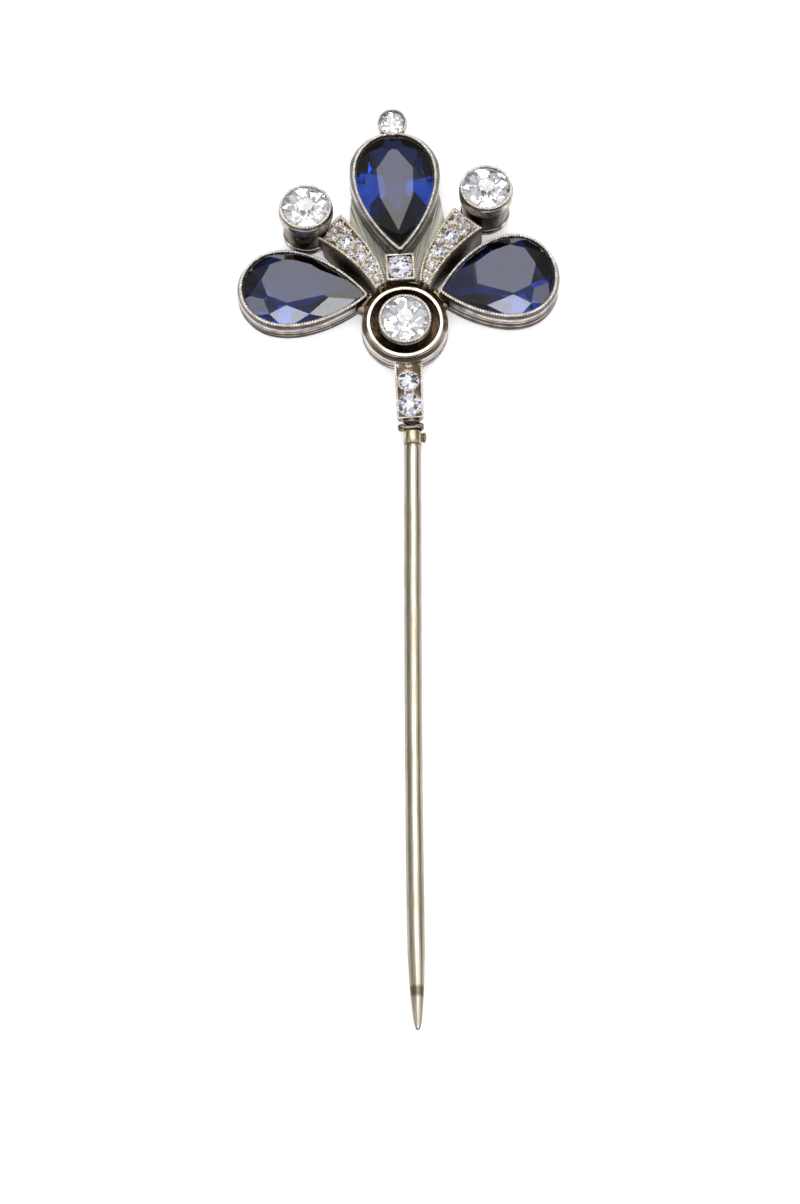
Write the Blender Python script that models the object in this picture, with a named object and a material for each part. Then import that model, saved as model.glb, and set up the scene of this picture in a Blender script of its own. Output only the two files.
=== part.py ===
"""A platinum and white-gold stick pin for a hat or lapel.

Three pear-shaped sapphires in milgrain collets fan out above a polished ring that frames a round
diamond. Two tapered pave arms carry tall round collets, a square box setting joins the top pear to
the ring, and a two-stone bar leads down to the soldered joint and the long plain stem.

Lengths are in millimetres and angles in degrees, and mesh_object() turns them into metres.
Head frame: origin at the ring's centre on the back plane, +Y towards the crown, +Z out of the face.
The world origin is on the back plate, behind the box setting.
"""

import math

import bmesh
import bpy
from mathutils import Matrix, Vector

MM = 0.001
GAP = 0.03  # clearance at each soldered or set joint

HEAD_LEAN = 3.8  # the head leans to the left of the stem
REST_POINT_Y = 4.3  # world origin, above the ring's centre
SMOOTH_ANGLE = 35

# Pear collets: the outline is the milgrain edge, tip first
PEAR_POINTS = 34
PEAR_BELLY = 1.8  # exponent of the teardrop, which puts its widest part 64 % of the way up
TIP_FLARE = 0.15  # how far an outer offset moves the tip, as a share of the offset
TIP_INSET = 1.45  # the same for an inner offset
FLARE = 0.35  # the wall stands this far outside the milgrain edge
FLARE_DEPTH = 0.8
TOP_PEAR = {"length": 9.95, "width": 6.42, "tip": (0.0, 5.46), "turn": 0.0, "height": 3.2, "base": 0.33}
LEFT_PEAR = {"length": 9.6, "width": 6.15, "tip": (-2.8, 2.27), "turn": 81.2, "height": 2.25, "base": 0.0}
RIGHT_PEAR = {"length": 8.95, "width": 6.65, "tip": (2.85, 2.1), "turn": -81.0, "height": 2.6, "base": 0.0}
EDGE_ROUND = 0.1  # rounding of every setting edge
EDGE_WIDTH = 0.12
LIP = 0.04  # the inner side of a setting edge is this much lower
COLLET_DEPTH = 1.4
COLLET_BEVEL = 0.12
COLLET_WALL = 0.6
RAIL_GAP = 0.04
RAIL_NECK = 0.2  # the rails are drawn in by this much between each other
RAIL_WALL = 0.42
RAIL_SHARE = 0.52  # the upper rail's share of the height under the collet
RAIL_ROUND = 0.22  # rounding of a rail as a share of its height
STONE_INSET = 0.36  # girdle of a pear stone inside the milgrain edge
BORE_INSET = STONE_INSET - GAP
GIRDLE_DROP = 0.42  # girdle top below the milgrain edge
GIRDLE = 0.14
LEDGE = 0.3  # every seat slopes inwards by this much, under the stone's girdle
PEAR_CROWN = 0.85
PEAR_PAVILION = 1.65
CUT_SHARE = 0.62  # height of the outer facets as a share of the crown or pavilion
TABLE_INSET = 1.05
STAR_INSET = 0.45
PAVILION_INSET = 1.2
CULET_INSET = 2.15

# Centre: polished ring, second tier below it, bridge, collet and stone
RING_POINTS = 40
RING_BORE = 2.58
RING_RIM = 2.98
RING_WALL = 3.31
RING_TOP = 2.15
RING_LOW = 0.78
RING_STEP = 0.55  # the ring's wall reaches its full width this far below the top
RING_BAND = 0.25
TIER_TOP = 0.74
TIER_WAIST = 0.5
TIER_NECK = 0.25
CENTER_TOP = 2.7
CENTER_LOW = 0.8
CENTER_SEAT = 0.42  # every seat's depth below its edge
CENTER_FLARE = 0.14
CENTER_WALL = 0.45
CENTER_EDGE = 1.95
CENTER_STONE = 1.78
BRIDGE_FLOOR = 0.45  # the bridge plate closes the well round the centre collet
BRIDGE_ANGLES = (197.0, 65.0, -55.0)
BRIDGE_WIDTH = 0.5
BRIDGE_LOW = 0.15
BRIDGE_INNER = 1.5
BRIDGE_COLLAR = 2.06

# Tall round collets, leaning away from the stem
ROUND_POINTS = 30
ROUND_EDGE = 1.93
ROUND_BAND = 2.08
ROUND_STONE = 1.8
ROUND_SEAT = 0.46
ROUND_BAND_DEPTH = 1.2
ROUND_TUBE_DEPTH = 3.3
ROUND_BASE_DEPTH = 4.1
ROUND_FOOT_DEPTH = 4.55
ROUND_WAIST = 0.17  # the tube below the band is this much narrower
ROUND_TAPER = 0.13
ROUND_WALL = 0.32
ROUND_FOOT = 0.66
ROUND_SWAY = 0.2  # share of the lean that goes sideways
LEFT_ROUND = {"top": (-7.02, 8.76, 5.0), "lean": (-1.0, 8.0)}
RIGHT_ROUND = {"top": (6.84, 9.46, 5.0), "lean": (1.0, 6.5)}

# Crown collet at the very top
CROWN_POINTS = 24
CROWN_CENTER = (0.1, 16.26)
CROWN_EDGE = 1.17
CROWN_TOP = 3.3
CROWN_LOW = 1.78
CROWN_STONE = 0.94
CROWN_SEAT = 0.34
CROWN_HOLE = 0.4

# Round stones, as shares of the girdle's radius
STONE_POINTS = 16  # sides of every round stone and its seat
TABLE = 0.52
STONE_CROWN = 0.34
STAR = 0.74
STAR_HEIGHT = 0.22
STONE_GIRDLE = 0.04
CULET = 0.12
STONE_PAVILION = 0.84
POCKET = 0.22  # the hole behind a set stone is this much narrower

# Pave arms: both edges are Bezier curves from the ring out to the round collet
ARM_INNER = ((1.38, 3.17), (1.42, 5.0), (2.85, 7.0), (4.34, 8.66))
ARM_OUTER = ((2.0, 2.74), (2.85, 4.3), (4.3, 5.7), (6.36, 6.84))
ARM_STATIONS = 12
ARM_LOW = 0.35
ARM_NEAR = 2.4  # height of the top face beside the ring
ARM_SLOPE = 0.16  # and its rise for each millimetre away from the ring's centre
ARM_SINK = 0.14  # the field of the arm lies this far below its edges
ARM_EDGE = 0.2
ARM_LENGTH = 5.5
ARM_CUP = 1.95  # radius of the hollow end that takes the round collet
ARM_STONES = ((3.98, 6.51, 0.62), (3.02, 5.31, 0.44), (2.37, 4.35, 0.33))  # x, y, radius

# Box setting between the top pear and the ring
BOX_CENTER = (-0.08, 4.29)
BOX_SIZE = 2.2
BOX_LOW = 0.35
BOX_TOP = 2.8
BOX_STONE = 0.86
BOX_EDGE = 0.2
BOX_SINK = 0.15
THROUGH = 4.0  # length of the holes behind the set stones

# Two-stone bar under the ring
BAR_TOP = 1.6
BAR_LOW = 0.75
BAR_START = -3.38
BAR_END = -7.77
BAR_WIDTHS = (2.14, 2.0)
BAR_SHIFTS = (0.04, -0.1)
BAR_FOOT = 0.1  # the bar is this much wider on each side at its back
BAR_EDGE = 0.22
BAR_SINK = 0.12
BAR_STONES = ((-0.08, -4.68, 0.72), (-0.07, -6.66, 0.8))

# Soldered joint and stem
NECK_END = -7.92
NECK_SIDES = (-0.55, 0.5)
NECK_HEIGHTS = (0.8, 1.4)
COLLAR_END = -8.62
COLLAR_REACH = (-1.2, 1.0)
COLLAR_RINGS = 10
COLLAR_SWELL = 0.18  # how uneven the lumpy collar is
COLLAR_TALL = 1.15
LUG_SIZE = (0.16, 0.42, 0.3)
LUG_SPOT = (0.19, -0.45, -0.15)
JOINT_HEIGHT = 1.0
SLEEVE_LENGTH = 1.15
SLEEVE_RADIUS = 0.7
SLEEVE_TAPER = 0.25
SLEEVE_WALL = 0.2
SLEEVE_HOLE = 0.12
STEM_RADIUS = 0.65
STEM_ROOT_RADIUS = 0.57
STEM_LENGTH = 47.15
STEM_SOCKET = 0.85
STEM_BOW = 0.35
STEM_POINT = 6.0
STEM_POINT_POWER = 0.36
STEM_POINTS = 14
STEM_STATIONS = 14  # along the plain rod
POINT_STATIONS = 12  # along the point, closer towards its tip

# Fan-shaped back plate that carries the top pear, the arms and the box
PLATE_TOP = 0.3
PLATE_SIDE = ((3.44, 11.1), (3.76, 8.6), (4.0, 6.6), (1.8, 3.02))
PLATE_POINTS = 10
PLATE_ARC_POINTS = 4
PLATE_REACH = 0.05  # beyond the top pear's milgrain edge
PLATE_OPENING = -0.78


def clear_scene():
    for obj in list(bpy.data.objects):
        bpy.data.objects.remove(obj)


def make_material(name, color, metallic, roughness, transmission=0.0):
    material = bpy.data.materials.new(name)
    material.use_nodes = True
    shader = material.node_tree.nodes["Principled BSDF"]
    shader.inputs["Base Color"].default_value = (*color, 1.0)
    shader.inputs["Metallic"].default_value = metallic
    shader.inputs["Roughness"].default_value = roughness
    shader.inputs["Transmission Weight"].default_value = transmission
    return material


def mesh_object(name, bm, material, parent, matrix=None):
    """A node from a mesh in millimetres, placed by a matrix in millimetres under its parent empty."""
    bmesh.ops.recalc_face_normals(bm, faces=bm.faces)
    bmesh.ops.scale(bm, vec=(MM, MM, MM), verts=bm.verts)
    mesh = bpy.data.meshes.new(name)
    bm.to_mesh(mesh)
    bm.free()
    mesh.shade_smooth()
    mesh.set_sharp_from_angle(angle=math.radians(SMOOTH_ANGLE))
    obj = bpy.data.objects.new(name, mesh)
    bpy.context.scene.collection.objects.link(obj)
    obj.data.materials.append(material)
    obj.parent = parent
    if matrix is not None:
        obj.location = matrix.to_translation() * MM
        obj.rotation_euler = matrix.to_euler()
    return obj


def cutter(name, bm, parent, matrix=None):
    obj = mesh_object(name, bm, MATERIALS["platinum"], parent, matrix)
    obj.hide_render = True
    obj.display_type = "WIRE"
    return obj


def boolean(obj, other, operation):
    modifier = obj.modifiers.new(other.name, "BOOLEAN")
    modifier.object = other
    modifier.operation = operation
    modifier.solver = "EXACT"


def bezier(controls, t):
    a, b, c, d = (Vector(p) for p in controls)
    s = 1 - t
    return a * s**3 + b * (3 * s * s * t) + c * (3 * s * t * t) + d * t**3


def circle(radius, count):
    def outline(offset):
        r = radius + offset
        turns = (math.tau * i / count for i in range(count))
        return [(r * math.cos(a), r * math.sin(a)) for a in turns]

    return outline


def pear(length, width, count=PEAR_POINTS):
    """A teardrop with its tip at the origin and its round end towards +Y."""
    widest = (PEAR_BELLY / (PEAR_BELLY + 1)) ** (PEAR_BELLY / 2) / math.sqrt(PEAR_BELLY + 1)

    def outline(offset):
        shift = offset * (TIP_FLARE if offset > 0 else TIP_INSET)
        half = width / 2 + offset
        points = []
        for i in range(count):
            u = math.pi * i / count
            x = -half * math.sin(u) ** PEAR_BELLY * math.cos(u) / widest
            y = (length + offset + shift) * math.sin(u) ** 2 - shift
            points.append((x, y))
        return points

    return outline


def loops_of(bm, outline, profile):
    return [[bm.verts.new((x, y, z)) for x, y in outline(offset)] for offset, z in profile]


def skin(bm, first, second):
    for i in range(len(first)):
        j = (i + 1) % len(first)
        bm.faces.new((first[i], first[j], second[j], second[i]))


def hoop(outline, profile):
    """A closed hoop: the profile's (offset, height) points run round the outline."""
    bm = bmesh.new()
    loops = loops_of(bm, outline, profile)
    for i, loop in enumerate(loops):
        skin(bm, loop, loops[(i + 1) % len(loops)])
    return bm


def plug(outline, profile):
    """A solid stack of outlines with a flat cap at each end."""
    bm = bmesh.new()
    loops = loops_of(bm, outline, profile)
    for first, second in zip(loops, loops[1:]):
        skin(bm, first, second)
    bm.faces.new(loops[0])
    bm.faces.new(loops[-1])
    return bm


def prism(points, low, high):
    """An upright solid on a closed outline; low and high are heights or functions of (x, y)."""
    bm = bmesh.new()
    sides = []
    for level in (low, high):
        height = level if callable(level) else (lambda x, y, z=level: z)
        sides.append([bm.verts.new((x, y, height(x, y))) for x, y in points])
    skin(bm, *sides)
    bm.faces.new(sides[0])
    bm.faces.new(sides[1])
    return bm


def place(x=0.0, y=0.0, z=0.0, turn=0.0):
    return Matrix.Translation((x, y, z)) @ Matrix.Rotation(math.radians(turn), 4, "Z")


def along(normal):
    """The rotation that turns +Z towards a normal by the shortest way."""
    return Vector((0, 0, 1)).rotation_difference(Vector(normal)).to_matrix().to_4x4()


def round_stone(name, radius, parent, matrix):
    """An old-cut round stone with its girdle's top at the matrix's origin."""
    profile = (
        ((TABLE - 1) * radius, STONE_CROWN * radius),
        ((STAR - 1) * radius, STAR_HEIGHT * radius),
        (0.0, 0.0),
        (0.0, -STONE_GIRDLE * radius),
        ((CULET - 1) * radius, -STONE_PAVILION * radius),
    )
    bm = plug(circle(radius, STONE_POINTS), profile)
    return mesh_object(name, bm, MATERIALS["diamond"], parent, matrix)


def stone_pocket(obj, name, radius, depth, matrix):
    """Opens a seat for a round stone, with a smaller hole right through behind it."""
    r = radius + GAP
    girdle = STONE_GIRDLE * radius
    narrow = (POCKET - 1) * r
    profile = (
        (0.0, 1.0),
        (0.0, -girdle - GAP),
        (narrow, -STONE_PAVILION * radius - girdle),
        (narrow, -depth),
    )
    tool = cutter(name, plug(circle(r, STONE_POINTS), profile), obj.parent, matrix)
    boolean(obj, tool, "DIFFERENCE")


def pear_setting(name, size, head):
    """Collet, two gallery rails and sapphire of one pear setting."""
    outline = pear(size["length"], size["width"])
    matrix = place(*size["tip"], 0.0, size["turn"])
    top = size["height"]
    low = top - COLLET_DEPTH
    seat = top - GIRDLE_DROP - GIRDLE - GAP
    collet = (
        (-BORE_INSET, top - LIP),
        (-EDGE_WIDTH, top),
        (0.0, top - EDGE_ROUND),
        (FLARE, top - FLARE_DEPTH),
        (FLARE - LIP, low + EDGE_ROUND),
        (FLARE - COLLET_BEVEL, low),
        (-COLLET_WALL, low),
        (-BORE_INSET - LEDGE, seat - LEDGE),
        (-BORE_INSET, seat),
    )
    body = mesh_object(f"{name}_collet", hoop(outline, collet), MATERIALS["platinum"], head, matrix)
    split = low - RAIL_GAP - (low - size["base"] - RAIL_GAP) * RAIL_SHARE
    tiers = {"gallery_rail": (low - RAIL_GAP, split), "base_rail": (split - RAIL_GAP, size["base"])}
    for tier, (high, deep) in tiers.items():
        step = RAIL_ROUND * (high - deep)
        rail = (
            (FLARE - EDGE_ROUND - RAIL_NECK, high),
            (FLARE - COLLET_BEVEL, high - step),
            (FLARE - COLLET_BEVEL / 2, (high + deep) / 2),
            (FLARE - COLLET_BEVEL, deep + step / 2),
            (FLARE - EDGE_ROUND - RAIL_NECK / 2, deep),
            (-RAIL_WALL, deep),
            (-RAIL_WALL, high),
        )
        mesh_object(f"{name}_{tier}", hoop(outline, rail), MATERIALS["platinum"], head, matrix)
    girdle = top - GIRDLE_DROP
    stone = (
        (-STONE_INSET - TABLE_INSET, girdle + PEAR_CROWN),
        (-STONE_INSET - STAR_INSET, girdle + CUT_SHARE * PEAR_CROWN),
        (-STONE_INSET, girdle),
        (-STONE_INSET, girdle - GIRDLE),
        (-STONE_INSET - PAVILION_INSET, girdle - CUT_SHARE * PEAR_PAVILION),
        (-STONE_INSET - CULET_INSET, girdle - PEAR_PAVILION),
    )
    sapphire = f"{name.removesuffix('_pear')}_sapphire"
    mesh_object(sapphire, plug(outline, stone), MATERIALS["sapphire"], head, matrix)
    return body


def build_center(head):
    ring = (
        (RING_BORE, RING_TOP - EDGE_ROUND),
        (RING_BORE + EDGE_ROUND, RING_TOP),
        (RING_RIM - EDGE_ROUND, RING_TOP),
        (RING_RIM, RING_TOP - EDGE_ROUND),
        (RING_RIM + LIP, RING_TOP - RING_BAND),
        (RING_WALL, RING_TOP - RING_STEP),
        (RING_WALL, RING_LOW + EDGE_ROUND),
        (RING_WALL - EDGE_ROUND, RING_LOW),
        (RING_BORE, RING_LOW),
    )
    mesh_object("center_ring", hoop(circle(0.0, RING_POINTS), ring), MATERIALS["platinum"], head)
    tier = (
        (RING_WALL - TIER_NECK, TIER_TOP),
        (RING_WALL - TIER_NECK, TIER_WAIST),
        (RING_WALL - LIP, TIER_WAIST - EDGE_ROUND),
        (RING_WALL, TIER_WAIST / 2),
        (RING_WALL - EDGE_ROUND, 0.0),
        (RING_BORE, 0.0),
        (RING_BORE, TIER_TOP),
    )
    mesh_object("ring_gallery", hoop(circle(0.0, RING_POINTS), tier), MATERIALS["platinum"], head)
    bridge_top = CENTER_LOW - GAP
    hub = (
        (BRIDGE_INNER, bridge_top),
        (BRIDGE_COLLAR, bridge_top),
        (BRIDGE_COLLAR, BRIDGE_FLOOR),
        (RING_BORE - GAP, BRIDGE_FLOOR),
        (RING_BORE - GAP, BRIDGE_LOW),
        (BRIDGE_INNER, BRIDGE_LOW),
    )
    bridge = mesh_object("center_bridge", hoop(circle(0.0, 32), hub), MATERIALS["gold"], head)
    inner = (BRIDGE_INNER + BRIDGE_COLLAR) / 2
    outer = RING_BORE - 2 * GAP
    half = BRIDGE_WIDTH / 2
    bar = [(inner, -half), (outer, -half), (outer, half), (inner, half)]
    for index, turn in enumerate(BRIDGE_ANGLES):
        strut = prism(bar, 2 * BRIDGE_LOW, bridge_top - LIP)
        boolean(bridge, cutter(f"bridge_strut_{index + 1}", strut, head, place(turn=turn)), "UNION")
    seat = CENTER_TOP - CENTER_SEAT
    collet = (
        (CENTER_STONE + GAP, CENTER_TOP - LIP),
        (CENTER_EDGE - EDGE_WIDTH / 2, CENTER_TOP),
        (CENTER_EDGE, CENTER_TOP - EDGE_ROUND),
        (CENTER_EDGE + CENTER_FLARE, seat),
        (CENTER_EDGE + CENTER_FLARE - LIP, CENTER_LOW + 2 * EDGE_ROUND),
        (CENTER_EDGE - LIP, CENTER_LOW),
        (CENTER_EDGE - CENTER_WALL, CENTER_LOW),
        (CENTER_STONE - LEDGE, seat - LEDGE),
        (CENTER_STONE + GAP, seat),
    )
    mesh_object("center_collet", hoop(circle(0.0, 40), collet), MATERIALS["platinum"], head)
    girdle = seat + GAP + STONE_GIRDLE * CENTER_STONE
    round_stone("center_diamond", CENTER_STONE, head, place(z=girdle))


def round_axis(size):
    """The matrix at the top of a tall round collet, with +Z up its leaning axis."""
    sideways, lean = size["lean"]
    run = math.tan(math.radians(lean))
    return Matrix.Translation(size["top"]) @ along((ROUND_SWAY * run * sideways, run, 1.0))


def build_round_setting(side, size, head):
    matrix = round_axis(size)
    tube = ROUND_BAND - ROUND_WAIST
    collet = (
        (ROUND_STONE + GAP, -LIP),
        (ROUND_EDGE - EDGE_WIDTH / 2, 0.0),
        (ROUND_EDGE, -EDGE_ROUND),
        (ROUND_BAND, -ROUND_SEAT),
        (ROUND_BAND - LIP, -ROUND_BAND_DEPTH + EDGE_ROUND),
        (tube, -ROUND_BAND_DEPTH),
        (tube - ROUND_TAPER, -ROUND_TUBE_DEPTH),
        (tube - ROUND_TAPER - ROUND_WALL, -ROUND_TUBE_DEPTH),
        (ROUND_STONE - LEDGE, -ROUND_SEAT - LEDGE),
        (ROUND_STONE + GAP, -ROUND_SEAT),
    )
    outline = circle(0.0, ROUND_POINTS)
    mesh_object(f"{side}_round_collet", hoop(outline, collet), MATERIALS["platinum"], head, matrix)
    start = -ROUND_TUBE_DEPTH - RAIL_GAP
    foot = ROUND_BAND - ROUND_FOOT
    base = (
        (tube - ROUND_TAPER - LIP, start),
        (tube - LIP, start - COLLET_BEVEL),
        (tube, (start - ROUND_BASE_DEPTH) / 2),
        (tube - ROUND_TAPER, -ROUND_BASE_DEPTH),
        (foot + LIP, -ROUND_BASE_DEPTH - LIP),
        (foot, -ROUND_FOOT_DEPTH),
        (foot - ROUND_WALL, -ROUND_FOOT_DEPTH),
        (foot - ROUND_WALL + LIP, start),
    )
    mesh_object(f"{side}_collet_base", hoop(outline, base), MATERIALS["platinum"], head, matrix)
    seat = matrix @ place(z=GAP - ROUND_SEAT + STONE_GIRDLE * ROUND_STONE)
    round_stone(f"{side}_diamond", ROUND_STONE, head, seat)


def build_crown(head):
    seat = CROWN_TOP - CROWN_SEAT
    collet = (
        (CROWN_STONE + GAP, CROWN_TOP - LIP),
        (CROWN_EDGE - EDGE_WIDTH, CROWN_TOP),
        (CROWN_EDGE - LIP, CROWN_TOP - EDGE_ROUND),
        (CROWN_EDGE, seat),
        (CROWN_EDGE - COLLET_BEVEL, CROWN_LOW + CROWN_SEAT),
        (CROWN_EDGE - CROWN_HOLE, CROWN_LOW),
        (CROWN_HOLE, CROWN_LOW),
        (CROWN_STONE - LEDGE, seat - LEDGE),
        (CROWN_STONE + GAP, seat),
    )
    matrix = place(*CROWN_CENTER)
    body = hoop(circle(0.0, CROWN_POINTS), collet)
    mesh_object("crown_collet", body, MATERIALS["platinum"], head, matrix)
    girdle = seat + GAP + STONE_GIRDLE * CROWN_STONE
    round_stone("crown_diamond", CROWN_STONE, head, matrix @ place(z=girdle))


def notch_for_crown(top_collet, head):
    """Lets the crown collet into the flare of the top pear's collet."""
    tool = plug(circle(CROWN_EDGE + GAP, CROWN_POINTS), ((0.0, CROWN_LOW - GAP), (0.0, CROWN_TOP + 1)))
    boolean(top_collet, cutter("crown_notch", tool, head, place(*CROWN_CENTER)), "DIFFERENCE")


def arm_height(x, y):
    return ARM_NEAR + ARM_SLOPE * (math.hypot(x, y) - RING_WALL)


def arm_outline(mirror, inset=0.0):
    """The arm's edges, inner edge outwards and outer edge back, drawn in by an inset."""
    start = inset / ARM_LENGTH
    steps = [start + (1 - 2 * start) * i / ARM_STATIONS for i in range(ARM_STATIONS + 1)]
    inner = [bezier(ARM_INNER, t) for t in steps]
    outer = [bezier(ARM_OUTER, t) for t in steps]
    pairs = []
    for a, b in zip(inner, outer):
        step = (b - a).normalized() * inset
        pairs.append((a + step, b - step))
    points = [a for a, _ in pairs] + [b for _, b in reversed(pairs)]
    return [(mirror * p.x, p.y) for p in points]


def build_arm(side, mirror, collet, head):
    body = prism(arm_outline(mirror), ARM_LOW, arm_height)
    arm = mesh_object(f"{side}_arm", body, MATERIALS["platinum"], head)
    field = prism(
        arm_outline(mirror, ARM_EDGE), lambda x, y: arm_height(x, y) - ARM_SINK, ARM_NEAR + 3
    )
    boolean(arm, cutter(f"{side}_arm_field", field, head), "DIFFERENCE")
    cup = plug(circle(ARM_CUP, ROUND_POINTS), ((0.0, 1.0), (0.0, -7.0)))
    boolean(arm, cutter(f"{side}_arm_cup", cup, head, round_axis(collet)), "DIFFERENCE")
    for index, (x, y, radius) in enumerate(ARM_STONES):
        away = math.hypot(x, y)
        normal = (-ARM_SLOPE * mirror * x / away, -ARM_SLOPE * y / away, 1.0)
        height = arm_height(x, y) - ARM_SINK
        seat = Matrix.Translation((mirror * x, y, height)) @ along(normal)
        stone_pocket(arm, f"{side}_arm_pocket_{index + 1}", radius, THROUGH, seat)
        round_stone(f"{side}_arm_diamond_{index + 1}", radius, head, seat)


def square(size, x, y):
    half = size / 2
    return [(x - half, y - half), (x + half, y - half), (x + half, y + half), (x - half, y + half)]


def build_box(head):
    body = prism(square(BOX_SIZE, *BOX_CENTER), BOX_LOW, BOX_TOP)
    box = mesh_object("box_setting", body, MATERIALS["platinum"], head)
    bite = plug(circle(RING_WALL + GAP, RING_POINTS), ((0.0, -1.0), (0.0, RING_TOP + 2 * GAP)))
    boolean(box, cutter("box_bite", bite, head), "DIFFERENCE")
    field = prism(square(BOX_SIZE - 2 * BOX_EDGE, *BOX_CENTER), BOX_TOP - BOX_SINK, BOX_TOP + 1)
    boolean(box, cutter("box_field", field, head), "DIFFERENCE")
    seat = place(*BOX_CENTER, BOX_TOP - BOX_SINK + GAP)
    stone_pocket(box, "box_pocket", BOX_STONE, THROUGH, seat)
    round_stone("box_diamond", BOX_STONE, head, seat)


def bar_outline(grow):
    halves = [w / 2 + grow for w in BAR_WIDTHS]
    near, far = BAR_SHIFTS
    return [
        (far - halves[1], BAR_END),
        (far + halves[1], BAR_END),
        (near + halves[0], BAR_START),
        (near - halves[0], BAR_START),
    ]


def build_bar(head):
    bm = bmesh.new()
    levels = ((BAR_FOOT, BAR_LOW), (0.0, BAR_TOP))
    loops = [[bm.verts.new((x, y, z)) for x, y in bar_outline(grow)] for grow, z in levels]
    skin(bm, *loops)
    bm.faces.new(loops[0])
    bm.faces.new(loops[1])
    bar = mesh_object("stem_bar", bm, MATERIALS["platinum"], head)
    bite = plug(circle(RING_WALL + GAP, RING_POINTS), ((0.0, -1.0), (0.0, RING_TOP + 1)))
    boolean(bar, cutter("bar_bite", bite, head), "DIFFERENCE")
    field = prism(bar_outline(-BAR_EDGE), BAR_TOP - BAR_SINK, BAR_TOP + 1)
    boolean(bar, cutter("bar_field", field, head), "DIFFERENCE")
    for name, (x, y, radius) in zip(("upper", "lower"), BAR_STONES):
        seat = place(x, y, BAR_TOP - BAR_SINK + GAP)
        stone_pocket(bar, f"{name}_bar_pocket", radius, THROUGH, seat)
        round_stone(f"{name}_bar_diamond", radius, head, seat)


def lobed_bar(reach, rings, scale):
    """A lumpy bar along X whose ends close in half-round lobes."""
    bm = bmesh.new()
    left, right = reach
    loops = []
    for i in range(rings):
        t = (i + 0.5) / rings
        lump = 1 + COLLAR_SWELL * math.cos(math.tau * 1.2 * t)
        swell = scale * math.sqrt(1 - (2 * t - 1) ** 4) * lump
        x = left + (right - left) * t
        round_it = circle(swell, 12)(0.0)
        loops.append([bm.verts.new((x, y, COLLAR_TALL * z)) for y, z in round_it])
    for first, second in zip(loops, loops[1:]):
        skin(bm, first, second)
    bm.faces.new(loops[0])
    bm.faces.new(loops[-1])
    return bm


def build_joint(head, stem_frame):
    left, right = NECK_SIDES
    top = BAR_END - GAP
    strap = [(left, NECK_END), (right, NECK_END), (right, top), (left, top)]
    mesh_object("joint_neck", prism(strap, *NECK_HEIGHTS), MATERIALS["platinum"], head)
    depth = (NECK_END - GAP - COLLAR_END) / 2
    collar = lobed_bar(COLLAR_REACH, COLLAR_RINGS, depth / (1 + COLLAR_SWELL))
    matrix = place(0.0, NECK_END - GAP - depth, JOINT_HEIGHT)
    mesh_object("joint_collar", collar, MATERIALS["platinum"], head, matrix)
    lug = bmesh.new()
    bmesh.ops.create_uvsphere(lug, u_segments=12, v_segments=8, radius=1.0)
    bmesh.ops.scale(lug, vec=LUG_SIZE, verts=lug.verts)
    beside = Matrix.Translation((SLEEVE_RADIUS, 0, JOINT_HEIGHT)) @ Matrix.Translation(LUG_SPOT)
    mesh_object("joint_lug", lug, MATERIALS["gold"], stem_frame, beside)
    sleeve = (
        (SLEEVE_RADIUS - LIP, 0.0),
        (SLEEVE_RADIUS, -EDGE_ROUND),
        (SLEEVE_RADIUS, -SLEEVE_LENGTH + SLEEVE_TAPER),
        (STEM_ROOT_RADIUS + GAP + LIP, -SLEEVE_LENGTH),
        (STEM_ROOT_RADIUS + GAP, -SLEEVE_LENGTH),
        (STEM_ROOT_RADIUS + GAP, -SLEEVE_WALL),
        (SLEEVE_HOLE, -SLEEVE_WALL),
        (SLEEVE_HOLE, 0.0),
    )
    lie_down = Matrix.Translation((0, 0, JOINT_HEIGHT)) @ Matrix.Rotation(math.radians(-90), 4, "X")
    body = hoop(circle(0.0, 24), sleeve)
    mesh_object("stem_sleeve", body, MATERIALS["gold"], stem_frame, lie_down)


def stem_radius(from_tip):
    if from_tip < STEM_POINT:
        return STEM_RADIUS * (from_tip / STEM_POINT) ** STEM_POINT_POWER
    return STEM_RADIUS


def build_stem(stem_frame):
    """The stem lies along -Y: a stepped root, a long plain rod with a slight bow, and the point."""
    start = -SLEEVE_LENGTH + STEM_SOCKET
    rod = -SLEEVE_LENGTH - GAP
    length = STEM_LENGTH + rod
    stations = [(start, STEM_ROOT_RADIUS), (rod, STEM_ROOT_RADIUS), (rod, STEM_RADIUS)]
    for i in range(1, STEM_STATIONS):
        stations.append((rod - (length - STEM_POINT) * i / STEM_STATIONS, STEM_RADIUS))
    for i in range(POINT_STATIONS):
        away = STEM_POINT * (1 - i / POINT_STATIONS) ** 1.7
        stations.append((-STEM_LENGTH + away, stem_radius(away)))
    bm = bmesh.new()
    loops = []
    for y, radius in stations:
        bow = STEM_BOW * (-y / STEM_LENGTH) ** 3
        section = circle(radius, STEM_POINTS)(0.0)
        loops.append([bm.verts.new((bow + x, y, JOINT_HEIGHT + z)) for x, z in section])
    for first, second in zip(loops, loops[1:]):
        skin(bm, first, second)
    bm.faces.new(loops[0])
    tip = bm.verts.new((STEM_BOW, -STEM_LENGTH, JOINT_HEIGHT))
    last = loops[-1]
    for i in range(STEM_POINTS):
        bm.faces.new((last[i], last[(i + 1) % STEM_POINTS], tip))
    mesh_object("pin_stem", bm, MATERIALS["white_gold"], stem_frame)


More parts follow.
